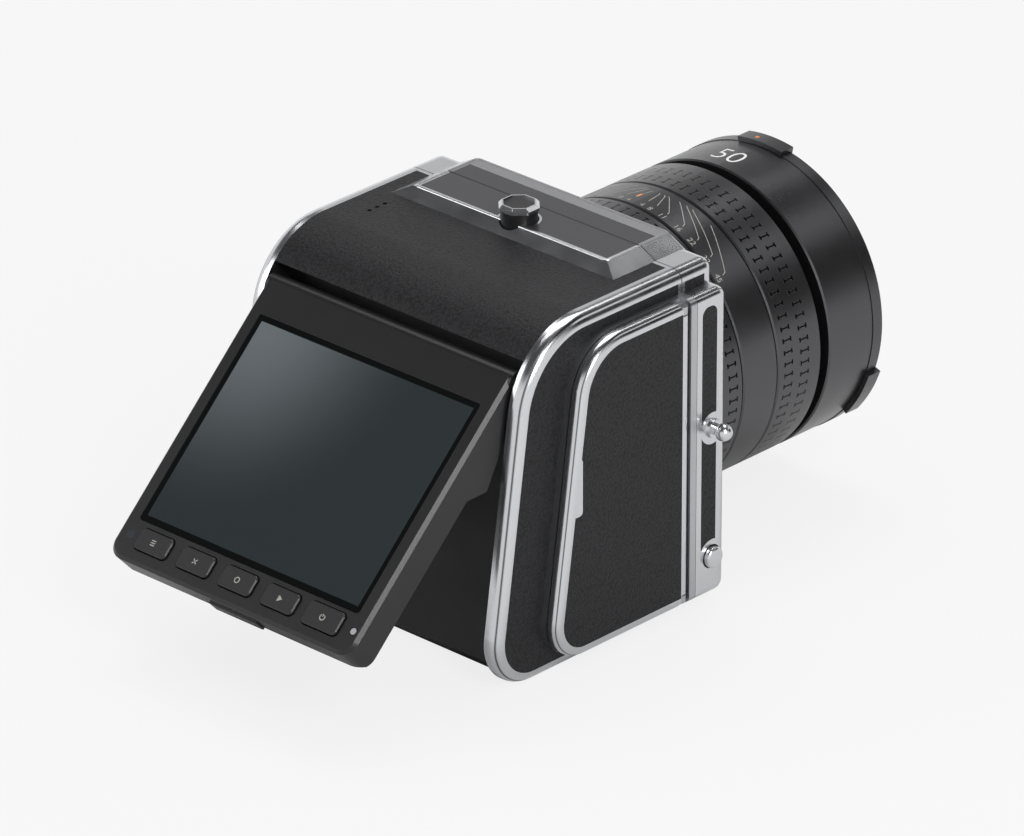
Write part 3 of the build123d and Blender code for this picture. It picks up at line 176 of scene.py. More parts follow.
def insideDots(tree, place, dots):
    # 1 within the radius of any dot, else 0; a dot is its centre in metres and radius in millimetres
    masks = []
    for centre, radius in dots:
        far = addNode(tree, "VectorMath", {0: place, 1: centre}, operation="DISTANCE")
        masks.append(addNode(tree, "Math", {0: far, 1: radius * mm}, operation="LESS_THAN"))
    return anyOf(tree, *masks)


def mottled(tree, place, sizeMm, detail, first, second):  # colour that drifts between two tones
    noise = addNode(tree, "TexNoise", {"Vector": place, "Scale": 1 / (sizeMm * mm), "Detail": detail})
    return addNode(tree, "Mix", {"Factor": noise, "A": linear(first), "B": linear(second)}, data_type="RGBA")


def drifting(tree, place, sizeMm, detail, low, high, share=(0.0, 1.0)):
    # a value that drifts from low to high; share is the part of the noise that spans the two
    noise = addNode(tree, "TexNoise", {"Vector": place, "Scale": 1 / (sizeMm * mm), "Detail": detail})
    return addNode(tree, "MapRange", {"Value": noise, "From Min": share[0], "From Max": share[1],
                                      "To Min": low, "To Max": high})


def grained(tree, place, sizeMm, detail, strength, depthMm):  # a normal roughened by fine noise
    noise = addNode(tree, "TexNoise", {"Vector": place, "Scale": 1 / (sizeMm * mm), "Detail": detail})
    return addNode(tree, "Bump", {"Height": noise, "Strength": strength, "Distance": depthMm * mm})


def plainFinish(name, shader, tone=None, rough=None, grain=None):
    # constants on the shader and up to three patterns, each given as the numbers that mottled,
    # drifting and grained take: size in millimetres, detail, then the two ends or strength and depth
    material, tree, bsdf, place = newMaterial(name, shader)
    if tone:
        setInputs(bsdf, {"Base Color": mottled(tree, place, *tone)})
    if rough:
        setInputs(bsdf, {"Roughness": drifting(tree, place, *rough)})
    if grain:
        setInputs(bsdf, {"Normal": grained(tree, place, *grain)})
    return material


# Polished chrome plate: mirror bright, with the faint haze of handling
chromeLook = {"colour": "#d2d3d6", "haze": (9.0, 5.0, 0.19, 0.26, (0.35, 0.7))}
chrome = plainFinish("PolishedChromePlate", {"Metallic": 1.0, "Base Color": linear(chromeLook["colour"])},
                     rough=chromeLook["haze"])

# The same plate on the door, with a painted dark reflection: a dark band along one slope of its rounded rim
paintedRimReflectionLook = {"colour": "#1c1c1d", "from": 0.59, "to": 0.69, "soft": 0.07}


def rimGroove(tree):
    # 1 on a thin band of a rounded rim, where a dark reflection is painted: there the sideways share of its
    # normal lies between two values, with a soft step at each
    normal = addNode(tree, "SeparateXYZ", {"Vector": addNode(tree, "TexCoord").outputs["Normal"]})
    share = addNode(tree, "Math", {0: normal.outputs["X"]}, operation="ABSOLUTE")
    steps = []
    for edge, start, end in (("from", 0.0, 1.0), ("to", 1.0, 0.0)):
        low, high = paintedRimReflectionLook[edge] - paintedRimReflectionLook["soft"], paintedRimReflectionLook[edge] + paintedRimReflectionLook["soft"]
        steps.append(addNode(tree, "MapRange", {
            "Value": share, "From Min": low, "From Max": high, "To Min": start, "To Max": end},
            interpolation_type="SMOOTHSTEP"))
    return allOf(tree, *steps)


rimmedChrome, tree, bsdf, place = newMaterial("PolishedChromePaintedRimReflection", {"Metallic": 1.0})
colour = addNode(tree, "Mix", {"Factor": rimGroove(tree), "A": linear(chromeLook["colour"]),
                               "B": linear(paintedRimReflectionLook["colour"])}, data_type="RGBA")
setInputs(bsdf, {"Base Color": colour, "Roughness": drifting(tree, place, *chromeLook["haze"])})

# Castings of the body and back: the same chrome on the rims with their painted dark reflection band, black
# paint in the display recess and under the base, painted shadow in the gap where the two halves meet and satin
# metal on the bar's front half
castingLook = {"paint": "#0b0b0c", "joint": "#060606", "satin": "#9b9b9e", "jointMm": 0.13, "barJointMm": 0.4,
               "sideFromMm": 41.6, "leanDegrees": 8.3, "duller": 0.32, "gritMm": 0.3, "gritDepthMm": 0.02}
seamMm = seamY / mm
casting, tree, bsdf, place = newMaterial("ChromedAndPaintedCasting")
xyz = addNode(tree, "SeparateXYZ", {"Vector": place}).outputs
lean = math.tan(math.radians(castingLook["leanDegrees"]))  # the recess leans, so its box is stood upright
upright = addNode(tree, "Math", {0: xyz["Z"], 1: lean, 2: xyz["Y"]}, operation="MULTIPLY_ADD")
leaned = addNode(tree, "CombineXYZ", {"X": xyz["X"], "Y": upright, "Z": xyz["Z"]})
# lowest and highest corner of each part that isn't bright plate, in millimetres
recess = insideBox(tree, leaned, (-41.45, 53.0, -1.0), (41.45, 90.0, 83.36))
base = insideBox(tree, place, (-42.4, -6.0, -1.0), (42.4, 62.0, 0.02))
# painted shadow: the gaps where the halves and the bar's panels meet are painted near black, as the shade
# inside them
joint = insideBox(tree, place, (-60.0, seamMm - castingLook["jointMm"], -1.0),
                  (60.0, seamMm + castingLook["jointMm"], 99.0))
paintedBarJointShadow = insideBox(tree, place, (-31.3, seamMm - castingLook["barJointMm"], 92.9),
                     (31.3, seamMm + castingLook["barJointMm"], 99.0))
satinBar = insideBox(tree, place, (-32.5, -9.0, 93.0), (32.5, seamMm, 99.0))
painted = anyOf(tree, recess, base)
paintedGapShadows = anyOf(tree, joint, paintedBarJointShadow)
notMetal = anyOf(tree, painted, paintedGapShadows)
dull = anyOf(tree, notMetal, satinBar)
sideways = addNode(tree, "Math", {0: xyz["X"]}, operation="ABSOLUTE")
onSides = addNode(tree, "Math", {0: sideways, 1: castingLook["sideFromMm"] * mm}, operation="GREATER_THAN")
# painted dark reflection band along the rounded side rims
paintedRimReflection = allOf(tree, rimGroove(tree), onSides)
colour = linear(chromeLook["colour"])
for mask, tone in ((satinBar, castingLook["satin"]), (paintedRimReflection, paintedRimReflectionLook["colour"]),
                   (painted, castingLook["paint"]), (paintedGapShadows, castingLook["joint"])):
    colour = addNode(tree, "Mix", {"Factor": mask, "A": colour, "B": linear(tone)}, data_type="RGBA")
haze = drifting(tree, place, *chromeLook["haze"])
metal = addNode(tree, "Math", {0: 1.0, 1: notMetal}, operation="SUBTRACT")
rough = addNode(tree, "Math", {0: dull, 1: castingLook["duller"], 2: haze}, operation="MULTIPLY_ADD")
grit = grained(tree, place, castingLook["gritMm"], 2.0, dull, castingLook["gritDepthMm"])
setInputs(bsdf, {"Base Color": colour, "Metallic": metal, "Roughness": rough, "Normal": grit})

# Satin chrome: brushed before plating, so the grain runs up the block
satinLook = {"colour": "#b9babd", "rough": 0.3, "grain": (0.12, 2.0, 0.12, 0.02),
             "drawnOut": (1.0, 1.0, 0.03)}
satinChrome, tree, bsdf, place = newMaterial("SatinChromePlate", {
    "Metallic": 1.0, "Roughness": satinLook["rough"], "Base Color": linear(satinLook["colour"])})
brushed = addNode(tree, "Mapping", {"Vector": place, "Scale": satinLook["drawnOut"]})
setInputs(bsdf, {"Normal": grained(tree, brushed, *satinLook["grain"])})

# Black leatherette, embossed: rounded pebbles about half a millimetre across, soft sheen, with painted shade
# in the valleys between them
leatherLook = {"paintedValleyShade": "#0e0e0f", "light": "#232326", "rough": 0.5, "specular": 0.26, "pebbleMm": 0.62,
               "round": 0.7, "warpMm": 1.7, "bendMm": 0.45, "creaseMm": 0.18, "creaseShare": -0.25,
               "shadedValleys": (0.1, 0.75), "depthMm": 0.11, "bump": 0.85}
leather, tree, bsdf, place = newMaterial("EmbossedLeatherette", {
    "Roughness": leatherLook["rough"], "Specular IOR Level": leatherLook["specular"]})
warp = addNode(tree, "TexNoise", {"Vector": place, "Scale": 1 / (leatherLook["warpMm"] * mm), "Detail": 3.0})
bend = addNode(tree, "VectorMath", {0: warp.outputs["Color"], "Scale": leatherLook["bendMm"] * mm},
               operation="SCALE")
bent = addNode(tree, "VectorMath", {0: place, 1: bend}, operation="ADD")
pebble = addNode(tree, "TexVoronoi", {"Vector": bent, "Scale": 1 / (leatherLook["pebbleMm"] * mm),
                                      "Smoothness": leatherLook["round"]}, feature="SMOOTH_F1")
crease = addNode(tree, "TexNoise", {"Vector": place, "Scale": 1 / (leatherLook["creaseMm"] * mm),
                                    "Detail": 2.0})
relief = addNode(tree, "Math", {0: crease, 1: leatherLook["creaseShare"], 2: pebble}, operation="MULTIPLY_ADD")
# painted shade: the valleys between the pebbles are darker and the pebble tops lighter, as light falls on the
# relief
shadedValleys = addNode(tree, "MapRange", {"Value": pebble, "From Min": leatherLook["shadedValleys"][0],
                                    "From Max": leatherLook["shadedValleys"][1]})
tint = addNode(tree, "Mix", {"Factor": shadedValleys, "A": linear(leatherLook["light"]),
                             "B": linear(leatherLook["paintedValleyShade"])}, data_type="RGBA")
bump = addNode(tree, "Bump", {"Height": relief, "Strength": leatherLook["bump"],
                              "Distance": leatherLook["depthMm"] * mm}, invert=True)
# painted shade of the three punched speaker holes in the top: near-black dots where the holes are, which are
# not cut
speakerLook = {"x": 33.4, "firstY": 26.5, "pitch": 2.7, "radius": 0.75, "top": 91.3, "colour": "#010101"}
speakerHoleShadeDots = []
for hole in range(3):
    y = speakerLook["firstY"] + hole * speakerLook["pitch"]
    speakerHoleShadeDots.append((Vector((speakerLook["x"], y, speakerLook["top"])) * mm, speakerLook["radius"]))
colour = addNode(tree, "Mix", {"Factor": insideDots(tree, place, speakerHoleShadeDots), "A": tint,
                               "B": linear(speakerLook["colour"])}, data_type="RGBA")
setInputs(bsdf, {"Base Color": colour, "Normal": bump})

# Glossy dark inlay of the top bar: painted and lacquered sheet
inlay = plainFinish("LacqueredInlaySheet", {"Metallic": 0.35, "Base Color": linear("#3a3a3d")},
                    rough=(0.25, 1.0, 0.19, 0.27))

# Display housing: moulded glass-filled nylon, spark-eroded grain of a tenth of a millimetre
nylon = plainFinish("MouldedBlackNylon", {"Roughness": 0.33, "Specular IOR Level": 0.42},
                    tone=(14, 3.0, "#111112", "#1a1a1c"), grain=(0.16, 2.0, 0.25, 0.03))

# Anodised aluminium, black, satin: fine turning marks round the lens axis
anodisedLook = {"colour": "#5a5a5c", "metallic": 0.96, "rough": (11, 3.0, 0.23, 0.36), "turningMm": 0.11,
                "gritMm": 0.09, "gritShare": 2.0, "bump": 0.06, "bumpMm": 0.02}
slotLook = {"colour": "#040404", "length": 3.2, "width": 0.36, "serif": 1.2, "serifFromEnd": 0.25,
            "serifHalf": 0.27, "edge": (-0.06, 0.08), "depthMm": 0.35, "wholeTurns": 50.0}


def milledSlots(tree, xyz, rows):
    # 1 in the I-shaped slots of each row, else 0. The angle round the lens is cut into equal cells;
    # the distances from the middle of the cell and of the row, or of the row's end, bound each bar
    up = addNode(tree, "Math", {0: xyz["Z"], 1: lensZ}, operation="SUBTRACT")
    angle = addNode(tree, "Math", {0: up, 1: xyz["X"]}, operation="ARCTAN2")
    half = slotLook["length"] / 2
    bars = []
    for row in rows:
        shift = row["shift"] + slotLook["wholeTurns"]  # whole turns keep the sum above 0
        turns = addNode(tree, "Math", {0: angle, 1: row["count"] / (2 * math.pi), 2: shift},
                        operation="MULTIPLY_ADD")
        cell = addNode(tree, "Math", {0: turns}, operation="FRACT")
        off = addNode(tree, "Math", {0: cell, 1: 0.5}, operation="SUBTRACT")
        side = addNode(tree, "Math", {0: off}, operation="ABSOLUTE")
        across = addNode(tree, "Math", {0: side, 1: 2 * math.pi * lensR / row["count"]}, operation="MULTIPLY")
        along = addNode(tree, "Math", {0: xyz["Y"], 1: seamY - row["middle"] * mm}, operation="SUBTRACT")
        run = addNode(tree, "Math", {0: along}, operation="ABSOLUTE")
        serifAt = (half - slotLook["serifFromEnd"]) * mm
        toEnd = addNode(tree, "Math", {0: run, 1: serifAt}, operation="SUBTRACT")
        end = addNode(tree, "Math", {0: toEnd}, operation="ABSOLUTE")
        for limits in (((across, slotLook["width"] / 2), (run, half)),
                       ((across, slotLook["serif"] / 2), (end, slotLook["serifHalf"]))):
            sides = []
            for distance, limit in limits:
                low, high = ((limit + step) * mm for step in slotLook["edge"])
                sides.append(addNode(tree, "MapRange", {
                    "Value": distance, "From Min": low, "From Max": high, "To Min": 1.0, "To Max": 0.0},
                    interpolation_type="SMOOTHSTEP"))
            bars.append(allOf(tree, *sides))
    return anyOf(tree, *bars)


def anodisedMaterial(name, slotRows=None):  # for a turned ring of the lens, plain or with rows of slots
    material, tree, bsdf, place = newMaterial(name, {
        "Metallic": anodisedLook["metallic"], "Base Color": linear(anodisedLook["colour"])})
    xyz = addNode(tree, "SeparateXYZ", {"Vector": place}).outputs
    wavesPerMetre = 2 * math.pi / (anodisedLook["turningMm"] * mm)
    lathe = addNode(tree, "Math", {0: xyz["Y"], 1: wavesPerMetre}, operation="MULTIPLY")
    wave = addNode(tree, "Math", {0: lathe}, operation="SINE")
    grit = addNode(tree, "TexNoise", {"Vector": place, "Scale": 1 / (anodisedLook["gritMm"] * mm),
                                      "Detail": 1.0})
    height = addNode(tree, "Math", {0: grit, 1: anodisedLook["gritShare"], 2: wave}, operation="MULTIPLY_ADD")
    normal = addNode(tree, "Bump", {"Height": height, "Strength": anodisedLook["bump"],
                                    "Distance": anodisedLook["bumpMm"] * mm})
    if slotRows:
        cut = milledSlots(tree, xyz, slotRows)
        normal = addNode(tree, "Bump", {"Height": cut, "Strength": 1.0, "Distance": slotLook["depthMm"] * mm,
                                        "Normal": normal}, invert=True)
        # painted shade: the slots' floors are painted near black, as the shade inside the cuts
        colour = addNode(tree, "Mix", {"Factor": cut, "A": linear(anodisedLook["colour"]),
                                       "B": linear(slotLook["colour"])}, data_type="RGBA")
        setInputs(bsdf, {"Base Color": colour})
    setInputs(bsdf, {"Roughness": drifting(tree, place, *anodisedLook["rough"]), "Normal": normal})
    return material


# rows of slots: middle in millimetres forward of the seam, slots per turn and shift in slots
focusSlots = [{"middle": 47.4, "count": 78, "shift": 0.0}, {"middle": 53.3, "count": 78, "shift": 0.5}]
controlSlots = [{"middle": 27.3, "count": 76, "shift": 0.0}]
anodised = anodisedMaterial("AnodisedAluminiumTurned")
anodisedFocus = anodisedMaterial("AnodisedAluminiumMilledGrip", focusSlots)
anodisedControl = anodisedMaterial("AnodisedAluminiumControlGrip", controlSlots)

# Turned stainless steel for pins, screws and bushes: bright, a little uneven from the tool
steel = plainFinish("TurnedStainlessSteel", {"Metallic": 1.0, "Base Color": linear("#9fa0a3")},
                    rough=(0.2, 2.0, 0.22, 0.4))

# Gold-plated brass contacts: warm, rubbed dull in places
gold = plainFinish("GoldPlatedBrass", {"Metallic": 1.0, "Base Color": linear("#d9b260")},
                   rough=(0.5, 2.0, 0.15, 0.35))

# Black moulded polycarbonate for sockets, the battery and the knob's skirt: fine even grain
plastic = plainFinish("MouldedPolycarbonate", {"Roughness": 0.42, "Base Color": linear("#101012")},
                      grain=(0.25, 2.0, 0.2, 0.03))

# Keys: moulded silicone-coated plastic, with a finer grain than the housing
keyPlastic = plainFinish("SoftTouchKeyPlastic", {"Roughness": 0.4, "Base Color": linear("#19191b")},
                         grain=(0.12, 1.0, 0.15, 0.02))

# Machined aluminium inside the camera: silver, with the dull and bright patches of milling
machined = plainFinish("MachinedAluminium", {"Metallic": 1.0, "Base Color": linear("#a9aaad")},
                       rough=(0.4, 2.0, 0.3, 0.5))

# Coated optical glass: clear and faintly green, violet where it turns away from the eye
glassTints = {"facing": "#e9f2ee", "edge": "#b9a6d6"}
opticalGlass, tree, bsdf, place = newMaterial("CoatedOpticalGlass", {
    "Roughness": 0.02, "IOR": 1.6, "Transmission Weight": 1.0})
sheen = addNode(tree, "LayerWeight", {"Blend": 0.35})
tint = addNode(tree, "Mix", {"Factor": sheen.outputs["Facing"], "A": linear(glassTints["facing"]),
                             "B": linear(glassTints["edge"])}, data_type="RGBA")
setInputs(bsdf, {"Base Color": tint})

# Silicon sensor under its filter: dark blue-grey, with cells far coarser than the real ones, which
# would not show
sensorLook = {"middle": "#1c2a30", "edge": "#2c3b46", "cellMm": 0.5}
sensorChip, tree, bsdf, place = newMaterial("SiliconSensorChip", {"Roughness": 0.12, "Metallic": 0.5})
cells = addNode(tree, "TexVoronoi", {"Vector": place, "Scale": 1 / (sensorLook["cellMm"] * mm)})
tint = addNode(tree, "Mix", {"Factor": cells, "A": linear(sensorLook["middle"]),
                             "B": linear(sensorLook["edge"])}, data_type="RGBA")
setInputs(bsdf, {"Base Color": tint})

# Circuit board: green solder mask, paler over the copper
board = plainFinish("SolderMaskBoard", {"Roughness": 0.4}, tone=(1.5, 4.0, "#0d3a22", "#1d5a38"))

# Printed marks: enamel ink, matt and slightly uneven
inkWhite = plainFinish("WhiteEnamelInk", {"Roughness": 0.5}, tone=(0.4, 2.0, "#c9c9c7", "#e2e2e0"))
inkGrey = plainFinish("GreyEnamelInk", {"Roughness": 0.5}, tone=(0.4, 2.0, "#8a8983", "#a3a29b"))
inkOrange = plainFinish("OrangeEnamelInk", {"Roughness": 0.5}, tone=(0.4, 2.0, "#c9702e", "#de8a44"))

# Matt black paint inside the lens, sprayed: it swallows stray light, with a fine orange peel
mattPaint = plainFinish("MattBlackLensPaint", {"Roughness": 0.8, "Specular IOR Level": 0.2},
                        tone=(0.3, 2.0, "#030303", "#0a0a0a"), grain=(0.3, 2.0, 0.3, 0.02))
print("materials made")

# Rounded top edge of the bar: a round wire along a rectangle with rounded corners. The path is the
# corner circle's point for each angle, moved out to the corner that the angle points at
beadLook = {"halfX": 31.9, "middleY": 6.5, "halfY": 11.0, "top": 93.4, "corner": 1.2, "radius": 0.42,
            "along": 64, "round": 12}
turnU = (np.arange(beadLook["along"]) + 0.5) / beadLook["along"] * 2 * np.pi
turnV = (np.arange(beadLook["round"]) / beadLook["round"] * 2 * np.pi)[None, :, None]
outward = np.column_stack([np.cos(turnU), np.sin(turnU), np.zeros(len(turnU))])
toCorner = np.sign(outward) * (np.array([beadLook["halfX"], beadLook["halfY"], 0]) - beadLook["corner"])
beadPath = toCorner * (1, 1, 0) + outward * beadLook["corner"]
beadPath += (0, beadLook["middleY"], beadLook["top"] - beadLook["radius"] / 2)
beadPoints = beadPath[:, None] + beadLook["radius"] * (
    outward[:, None] * np.cos(turnV) + np.array([0, 0, 1]) * np.sin(turnV))
beadPoints = beadPoints.reshape(-1, 3) * mm
beadFaces = gridFaces(beadLook["along"], beadLook["round"], tube=True)
bead = addPiece("bar_edge_bead", beadPoints, beadFaces, casting, "camera")
bead.data.polygons.foreach_set("use_smooth", np.ones(len(beadFaces), bool))
print("bar edge made")

# The display has a frame of its own: across, down the screen from the hinge, and out of its face
screenLook = {"hinge": (0.0, 58.1648, 78.0), "tilt": 46.3, "activeTop": 10.2, "activeBottom": 65.0,
              "activeHalf": 35.3, "keyRun": 71.0, "keyTop": 3.55}
tilt = math.radians(screenLook["tilt"])
hinge = Vector(screenLook["hinge"]) * mm
screenDown = Vector((0, math.sin(tilt), -math.cos(tilt)))
screenOut = Vector((0, math.cos(tilt), math.sin(tilt)))


def onScreen(flat):
    # flat x is millimetres to the viewer's right, flat y down from the hinge, flat z out of the face
    return np.array(hinge) + flat * mm @ np.array([(-1, 0, 0), screenDown, screenOut])


# Windows of the indicator lamp and the light sensor, level with the keys: clear lens over a pale or
# a dark dot, a little below the tops of the keys
windowLook = {"lampX": 38.1, "lampRadius": 0.85, "sensorX": -36.6, "sensorRadius": 1.25, "below": 0.6,
              "lamp": "#9a9ca0", "sensor": "#20262c", "rim": "#050506"}
windows, tree, bsdf, place = newMaterial("ClearLensOverDots", {"Roughness": 0.15, "IOR": 1.5})
windowDots = []
for window in ("lamp", "sensor"):
    middle = (windowLook[window + "X"], screenLook["keyRun"], screenLook["keyTop"] - windowLook["below"])
    windowDots.append((onScreen(np.array(middle)), windowLook[window + "Radius"]))
onLamp = addNode(tree, "Math", {0: addNode(tree, "SeparateXYZ", {"Vector": place}).outputs["X"], 1: 0.0},
                 operation="LESS_THAN")
inner = addNode(tree, "Mix", {"Factor": onLamp, "A": linear(windowLook["sensor"]),
                              "B": linear(windowLook["lamp"])}, data_type="RGBA")
colour = addNode(tree, "Mix", {"Factor": insideDots(tree, place, windowDots), "A": linear(windowLook["rim"]),
                               "B": inner}, data_type="RGBA")
setInputs(bsdf, {"Base Color": colour})

# Cover glass over a switched-off liquid crystal panel: black printed border, grey-green inside, with a painted
# reflection of the bright room that makes it paler towards its corner by the hinge
glassLook = {"border": "#0a0b0b", "low": "#2a3031", "high": "#61676a", "palestX": 36.0, "palestRun": 9.0,
             "reflectionFrom": -8.0, "reflectionTo": 58.0}
coverGlass, tree, bsdf, place = newMaterial("CoverGlassOverPanel", {"Roughness": 0.05, "IOR": 1.5})
fromHinge = addNode(tree, "Mapping", {"Vector": place, "Location": -hinge}, vector_type="POINT")
run = addNode(tree, "VectorMath", {0: fromHinge, 1: screenDown}, operation="DOT_PRODUCT")
sideways = addNode(tree, "SeparateXYZ", {"Vector": fromHinge}).outputs["X"]
onPanel = addNode(tree, "CombineXYZ", {"X": sideways, "Y": run})
active = insideBox(tree, onPanel, (-screenLook["activeHalf"], screenLook["activeTop"], -1.0),
                   (screenLook["activeHalf"], screenLook["activeBottom"], 1.0))
# painted reflection of the bright room, palest at a point near the hinge corner and fading with distance from
# it
palest = Vector((glassLook["palestX"], glassLook["palestRun"], 0)) * mm
far = addNode(tree, "VectorMath", {0: onPanel, 1: palest}, operation="DISTANCE")
level = addNode(tree, "MapRange", {"Value": far, "From Min": glassLook["reflectionFrom"] * mm,
                                   "From Max": glassLook["reflectionTo"] * mm, "To Min": 1.0, "To Max": 0.0},
                interpolation_type="SMOOTHERSTEP")
paintedRoomReflection = addNode(tree, "Mix", {"Factor": level, "A": linear(glassLook["low"]), "B": linear(glassLook["high"])},
               data_type="RGBA")
colour = addNode(tree, "Mix", {"Factor": active, "A": linear(glassLook["border"]), "B": paintedRoomReflection},
                 data_type="RGBA")
setInputs(bsdf, {"Base Color": colour})

dress(casting, "camera_frame", "back_housing", "latch_bar")
dress(rimmedChrome, "port_door")
dress(chrome, "latch_cap", "lens_release", "shutter_release", "strap_lugs", "mount_ring")
dress(satinChrome, "port_block")
dress(leather, "body_leather_right", "body_leather_left", "front_leather", "top_leather",
      "side_leather_right", "side_leather_left", "port_door_leather")
dress(inlay, "body_top_strip", "latch_panel")
dress(nylon, "display_housing", "display_back_cover")
dress(coverGlass, "display_glass")
dress(plastic, "lcd_panel", "latch_button", "latch_plate", "battery", "battery_latch", "port_panel",
      "contact_strip", "control_dial")
dress(windows, "display_lenses")
dress(keyPlastic, "key_menu", "key_cross", "key_select", "key_play", "key_power")
dress(anodised, "scale_sleeve", "front_barrel", "front_ring")
dress(mattPaint, "lens_core", "iris_blades")
dress(anodisedControl, "control_ring")
dress(anodisedFocus, "focus_ring")
dress(machined, "clutch_sleeve", "sensor_frame", "heat_block")
dress(steel, "mount_screws", "lens_lock_pin", "tripod_bush", "port_hinge_pin", "port_sockets",
      "hinge_pin", "lens_bayonet")
dress(gold, "mount_contacts", "contact_pins")
dress(opticalGlass, "front_glass", "rear_glass", "sensor_glass")
dress(sensorChip, "image_sensor")
dress(board, "main_board")
print("frame dressed")

# Key signs: strokes carried along short paths, printed on the keys. Each key has its distance from
# the middle in millimetres, and its strokes in units of the sign's size
signLook = {"stroke": 0.26, "height": 0.03, "size": 0.85, "gap": 35}
circle = np.radians(np.linspace(0, 360, 25))
openCircle = np.radians(np.linspace(signLook["gap"], 360 - signLook["gap"], 21))
signs = {
    "menu_key": (-28.4, [[(-0.8, y), (0.8, y)] for y in (-0.7, 0, 0.7)]),
    "cross_key": (-14.2, [[(-0.7, -0.7), (0.7, 0.7)], [(-0.7, 0.7), (0.7, -0.7)]]),
    "select_key": (0.0, [np.column_stack([np.sin(circle), -np.cos(circle)]) * 0.8]),
    "play_key": (14.2, [[(-0.5, -0.75), (0.75, 0), (-0.5, 0.75), (-0.5, -0.75)],
                        [(-0.3, -0.3), (0.3, 0), (-0.3, 0.3)]]),
    "power_key": (28.4, [np.column_stack([np.sin(openCircle), -np.cos(openCircle)]) * 0.85,
                         [(0, -1.0), (0, -0.2)]]),
}
for body, (centre, strokes) in signs.items():
    for number, stroke in enumerate(strokes):
        path = np.asarray(stroke, float) * signLook["size"] + (centre, screenLook["keyRun"])
        boxedRibbon(f"sign_{body}_{number}", path, signLook["stroke"], signLook["height"],
                    lambda flat: onScreen(flat + (0, 0, screenLook["keyTop"])), inkGrey, body)
print("key signs made")

# Marks printed on the lens: angles in degrees, distances forward of the seam in millimetres
markLook = {"lift": 0.02, "line": 0.2, "digitShare": 0.72, "stopRow": 32.8, "stopHeight": 1.7}


def degreesPerMm(radius):  # how far one millimetre of print turns round the lens
    return math.degrees(mm / radius)


def lensText(name, words, angle, front, height, material, thin=0.0):
    # letters' own x runs clockwise round the lens as seen from behind, and y runs forward
    curve = bpy.data.curves.new(name, "FONT")
    curve.body = words
    curve.align_x = "CENTER"
    curve.align_y = "CENTER"
    curve.size = height / markLook["digitShare"]
    curve.offset = -thin
    text = addObject(name, curve)
    mesh = bpy.data.meshes.new_from_object(text)
    bpy.data.objects.remove(text)
    flat = np.zeros(len(mesh.vertices) * 3)
    mesh.vertices.foreach_get("co", flat)
    flat = flat.reshape(-1, 3)
    place = onLens(np.column_stack([angle - flat[:, 0] * degreesPerMm(lensR), front + flat[:, 1],
                                    np.full(len(flat), markLook["lift"])]))
    mesh.vertices.foreach_set("co", place.ravel())
    mesh.materials.clear()
    mesh.materials.append(material)
    mesh.update()
    piece = addObject(name, mesh)
    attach(piece, "camera")
    return piece


def lensLine(name, corners, width, material, body="camera", radius=lensR):
    # a printed line whose corners are (angle, distance forward); it bends with the ring
    corners = np.asarray(corners, float)
    runs = []
    for a, b in zip(corners[:-1], corners[1:]):
        points = max(2, int(abs(b[0] - a[0]) / 2) + 2)  # one for each two degrees of turn, and the ends
        runs.append(np.linspace(a, b, points)[:-1])
    spread = degreesPerMm(radius)
    path = np.vstack(runs + [corners[-1:]]) / (spread, 1)
    return boxedRibbon(name, path, width, markLook["lift"],
                       lambda flat: onLens(flat * (spread, 1, 1), radius), material, body)


lensText("focal_number", "50", 93.0, 69.0, 6.6, inkWhite, thin=0.1)
# each stop: the number's angle, then the bent line from its front end to its back end, both mirrored
# about the top
stops = {
    4: (86.6, [(88.6, 40.6), (88.0, 40.2), (86.9, 35.3)]),
    8: (82.6, [(86.2, 40.7), (85.3, 40.2), (82.4, 35.3)]),
    11: (76.4, [(84.6, 41.0), (83.4, 40.4), (76.6, 35.5), (76.2, 34.6)]),
    16: (68.3, [(79.4, 41.2), (78.0, 40.6), (68.5, 35.5), (68.1, 34.6)]),
    22: (60.6, [(76.0, 41.4), (74.6, 40.8), (60.6, 35.5), (60.1, 34.6)]),
    32: (51.9, [(73.2, 41.6), (71.6, 41.0), (52.6, 35.6), (52.0, 34.6)]),
    45: (43.4, [(63.4, 41.6), (61.8, 41.1), (44.4, 35.7), (43.8, 34.6)]),
}
for stop, (angle, line) in stops.items():
    for side, flip in (("right", 1), ("left", -1)):
        ends = [(90 + flip * (a - 90), d) for a, d in line]
        lensLine(f"depth_line_{stop}_{side}", ends, markLook["line"], inkGrey)
        lensText(f"depth_number_{stop}_{side}", str(stop), 90 + flip * (angle - 90), markLook["stopRow"],
                 markLook["stopHeight"], inkGrey)
lensLine("index_mark", [(93.0, 35.6), (93.0, 37.4)], 0.8, inkOrange)
lensLine("hood_mark", [(93.4, 79.5), (93.4, 80.5)], 1.0, inkOrange, radius=39.4 * mm)
print("lens marks made")

# Studio: the camera sees plain paper; metal and glass see the paper up to a height, a dark ceiling
# above it, and a black flag beside the lens that darkens its shoulder
studio = {"paper": "#f5f5f5", "ceiling": "#434345", "worldLight": 0.5, "paleUpTo": 0.32, "darkFrom": 0.62,
          "flag": "#161617", "flagTowards": (-0.64, -0.67, 0.33), "flagFull": 0.2, "flagGone": 0.5}
world = bpy.data.worlds.new("PaleStudio")
bpy.context.scene.world = world
world.use_nodes = True
tree = world.node_tree
tree.nodes.clear()
towards = addNode(tree, "TexCoord").outputs["Generated"]
height = addNode(tree, "SeparateXYZ", {"Vector": towards}).outputs["Z"]
rise = addNode(tree, "MapRange", {"Value": height, "From Min": studio["paleUpTo"],
                                  "From Max": studio["darkFrom"]}, interpolation_type="SMOOTHSTEP")
off = addNode(tree, "VectorMath", {0: towards, 1: studio["flagTowards"]}, operation="DISTANCE")
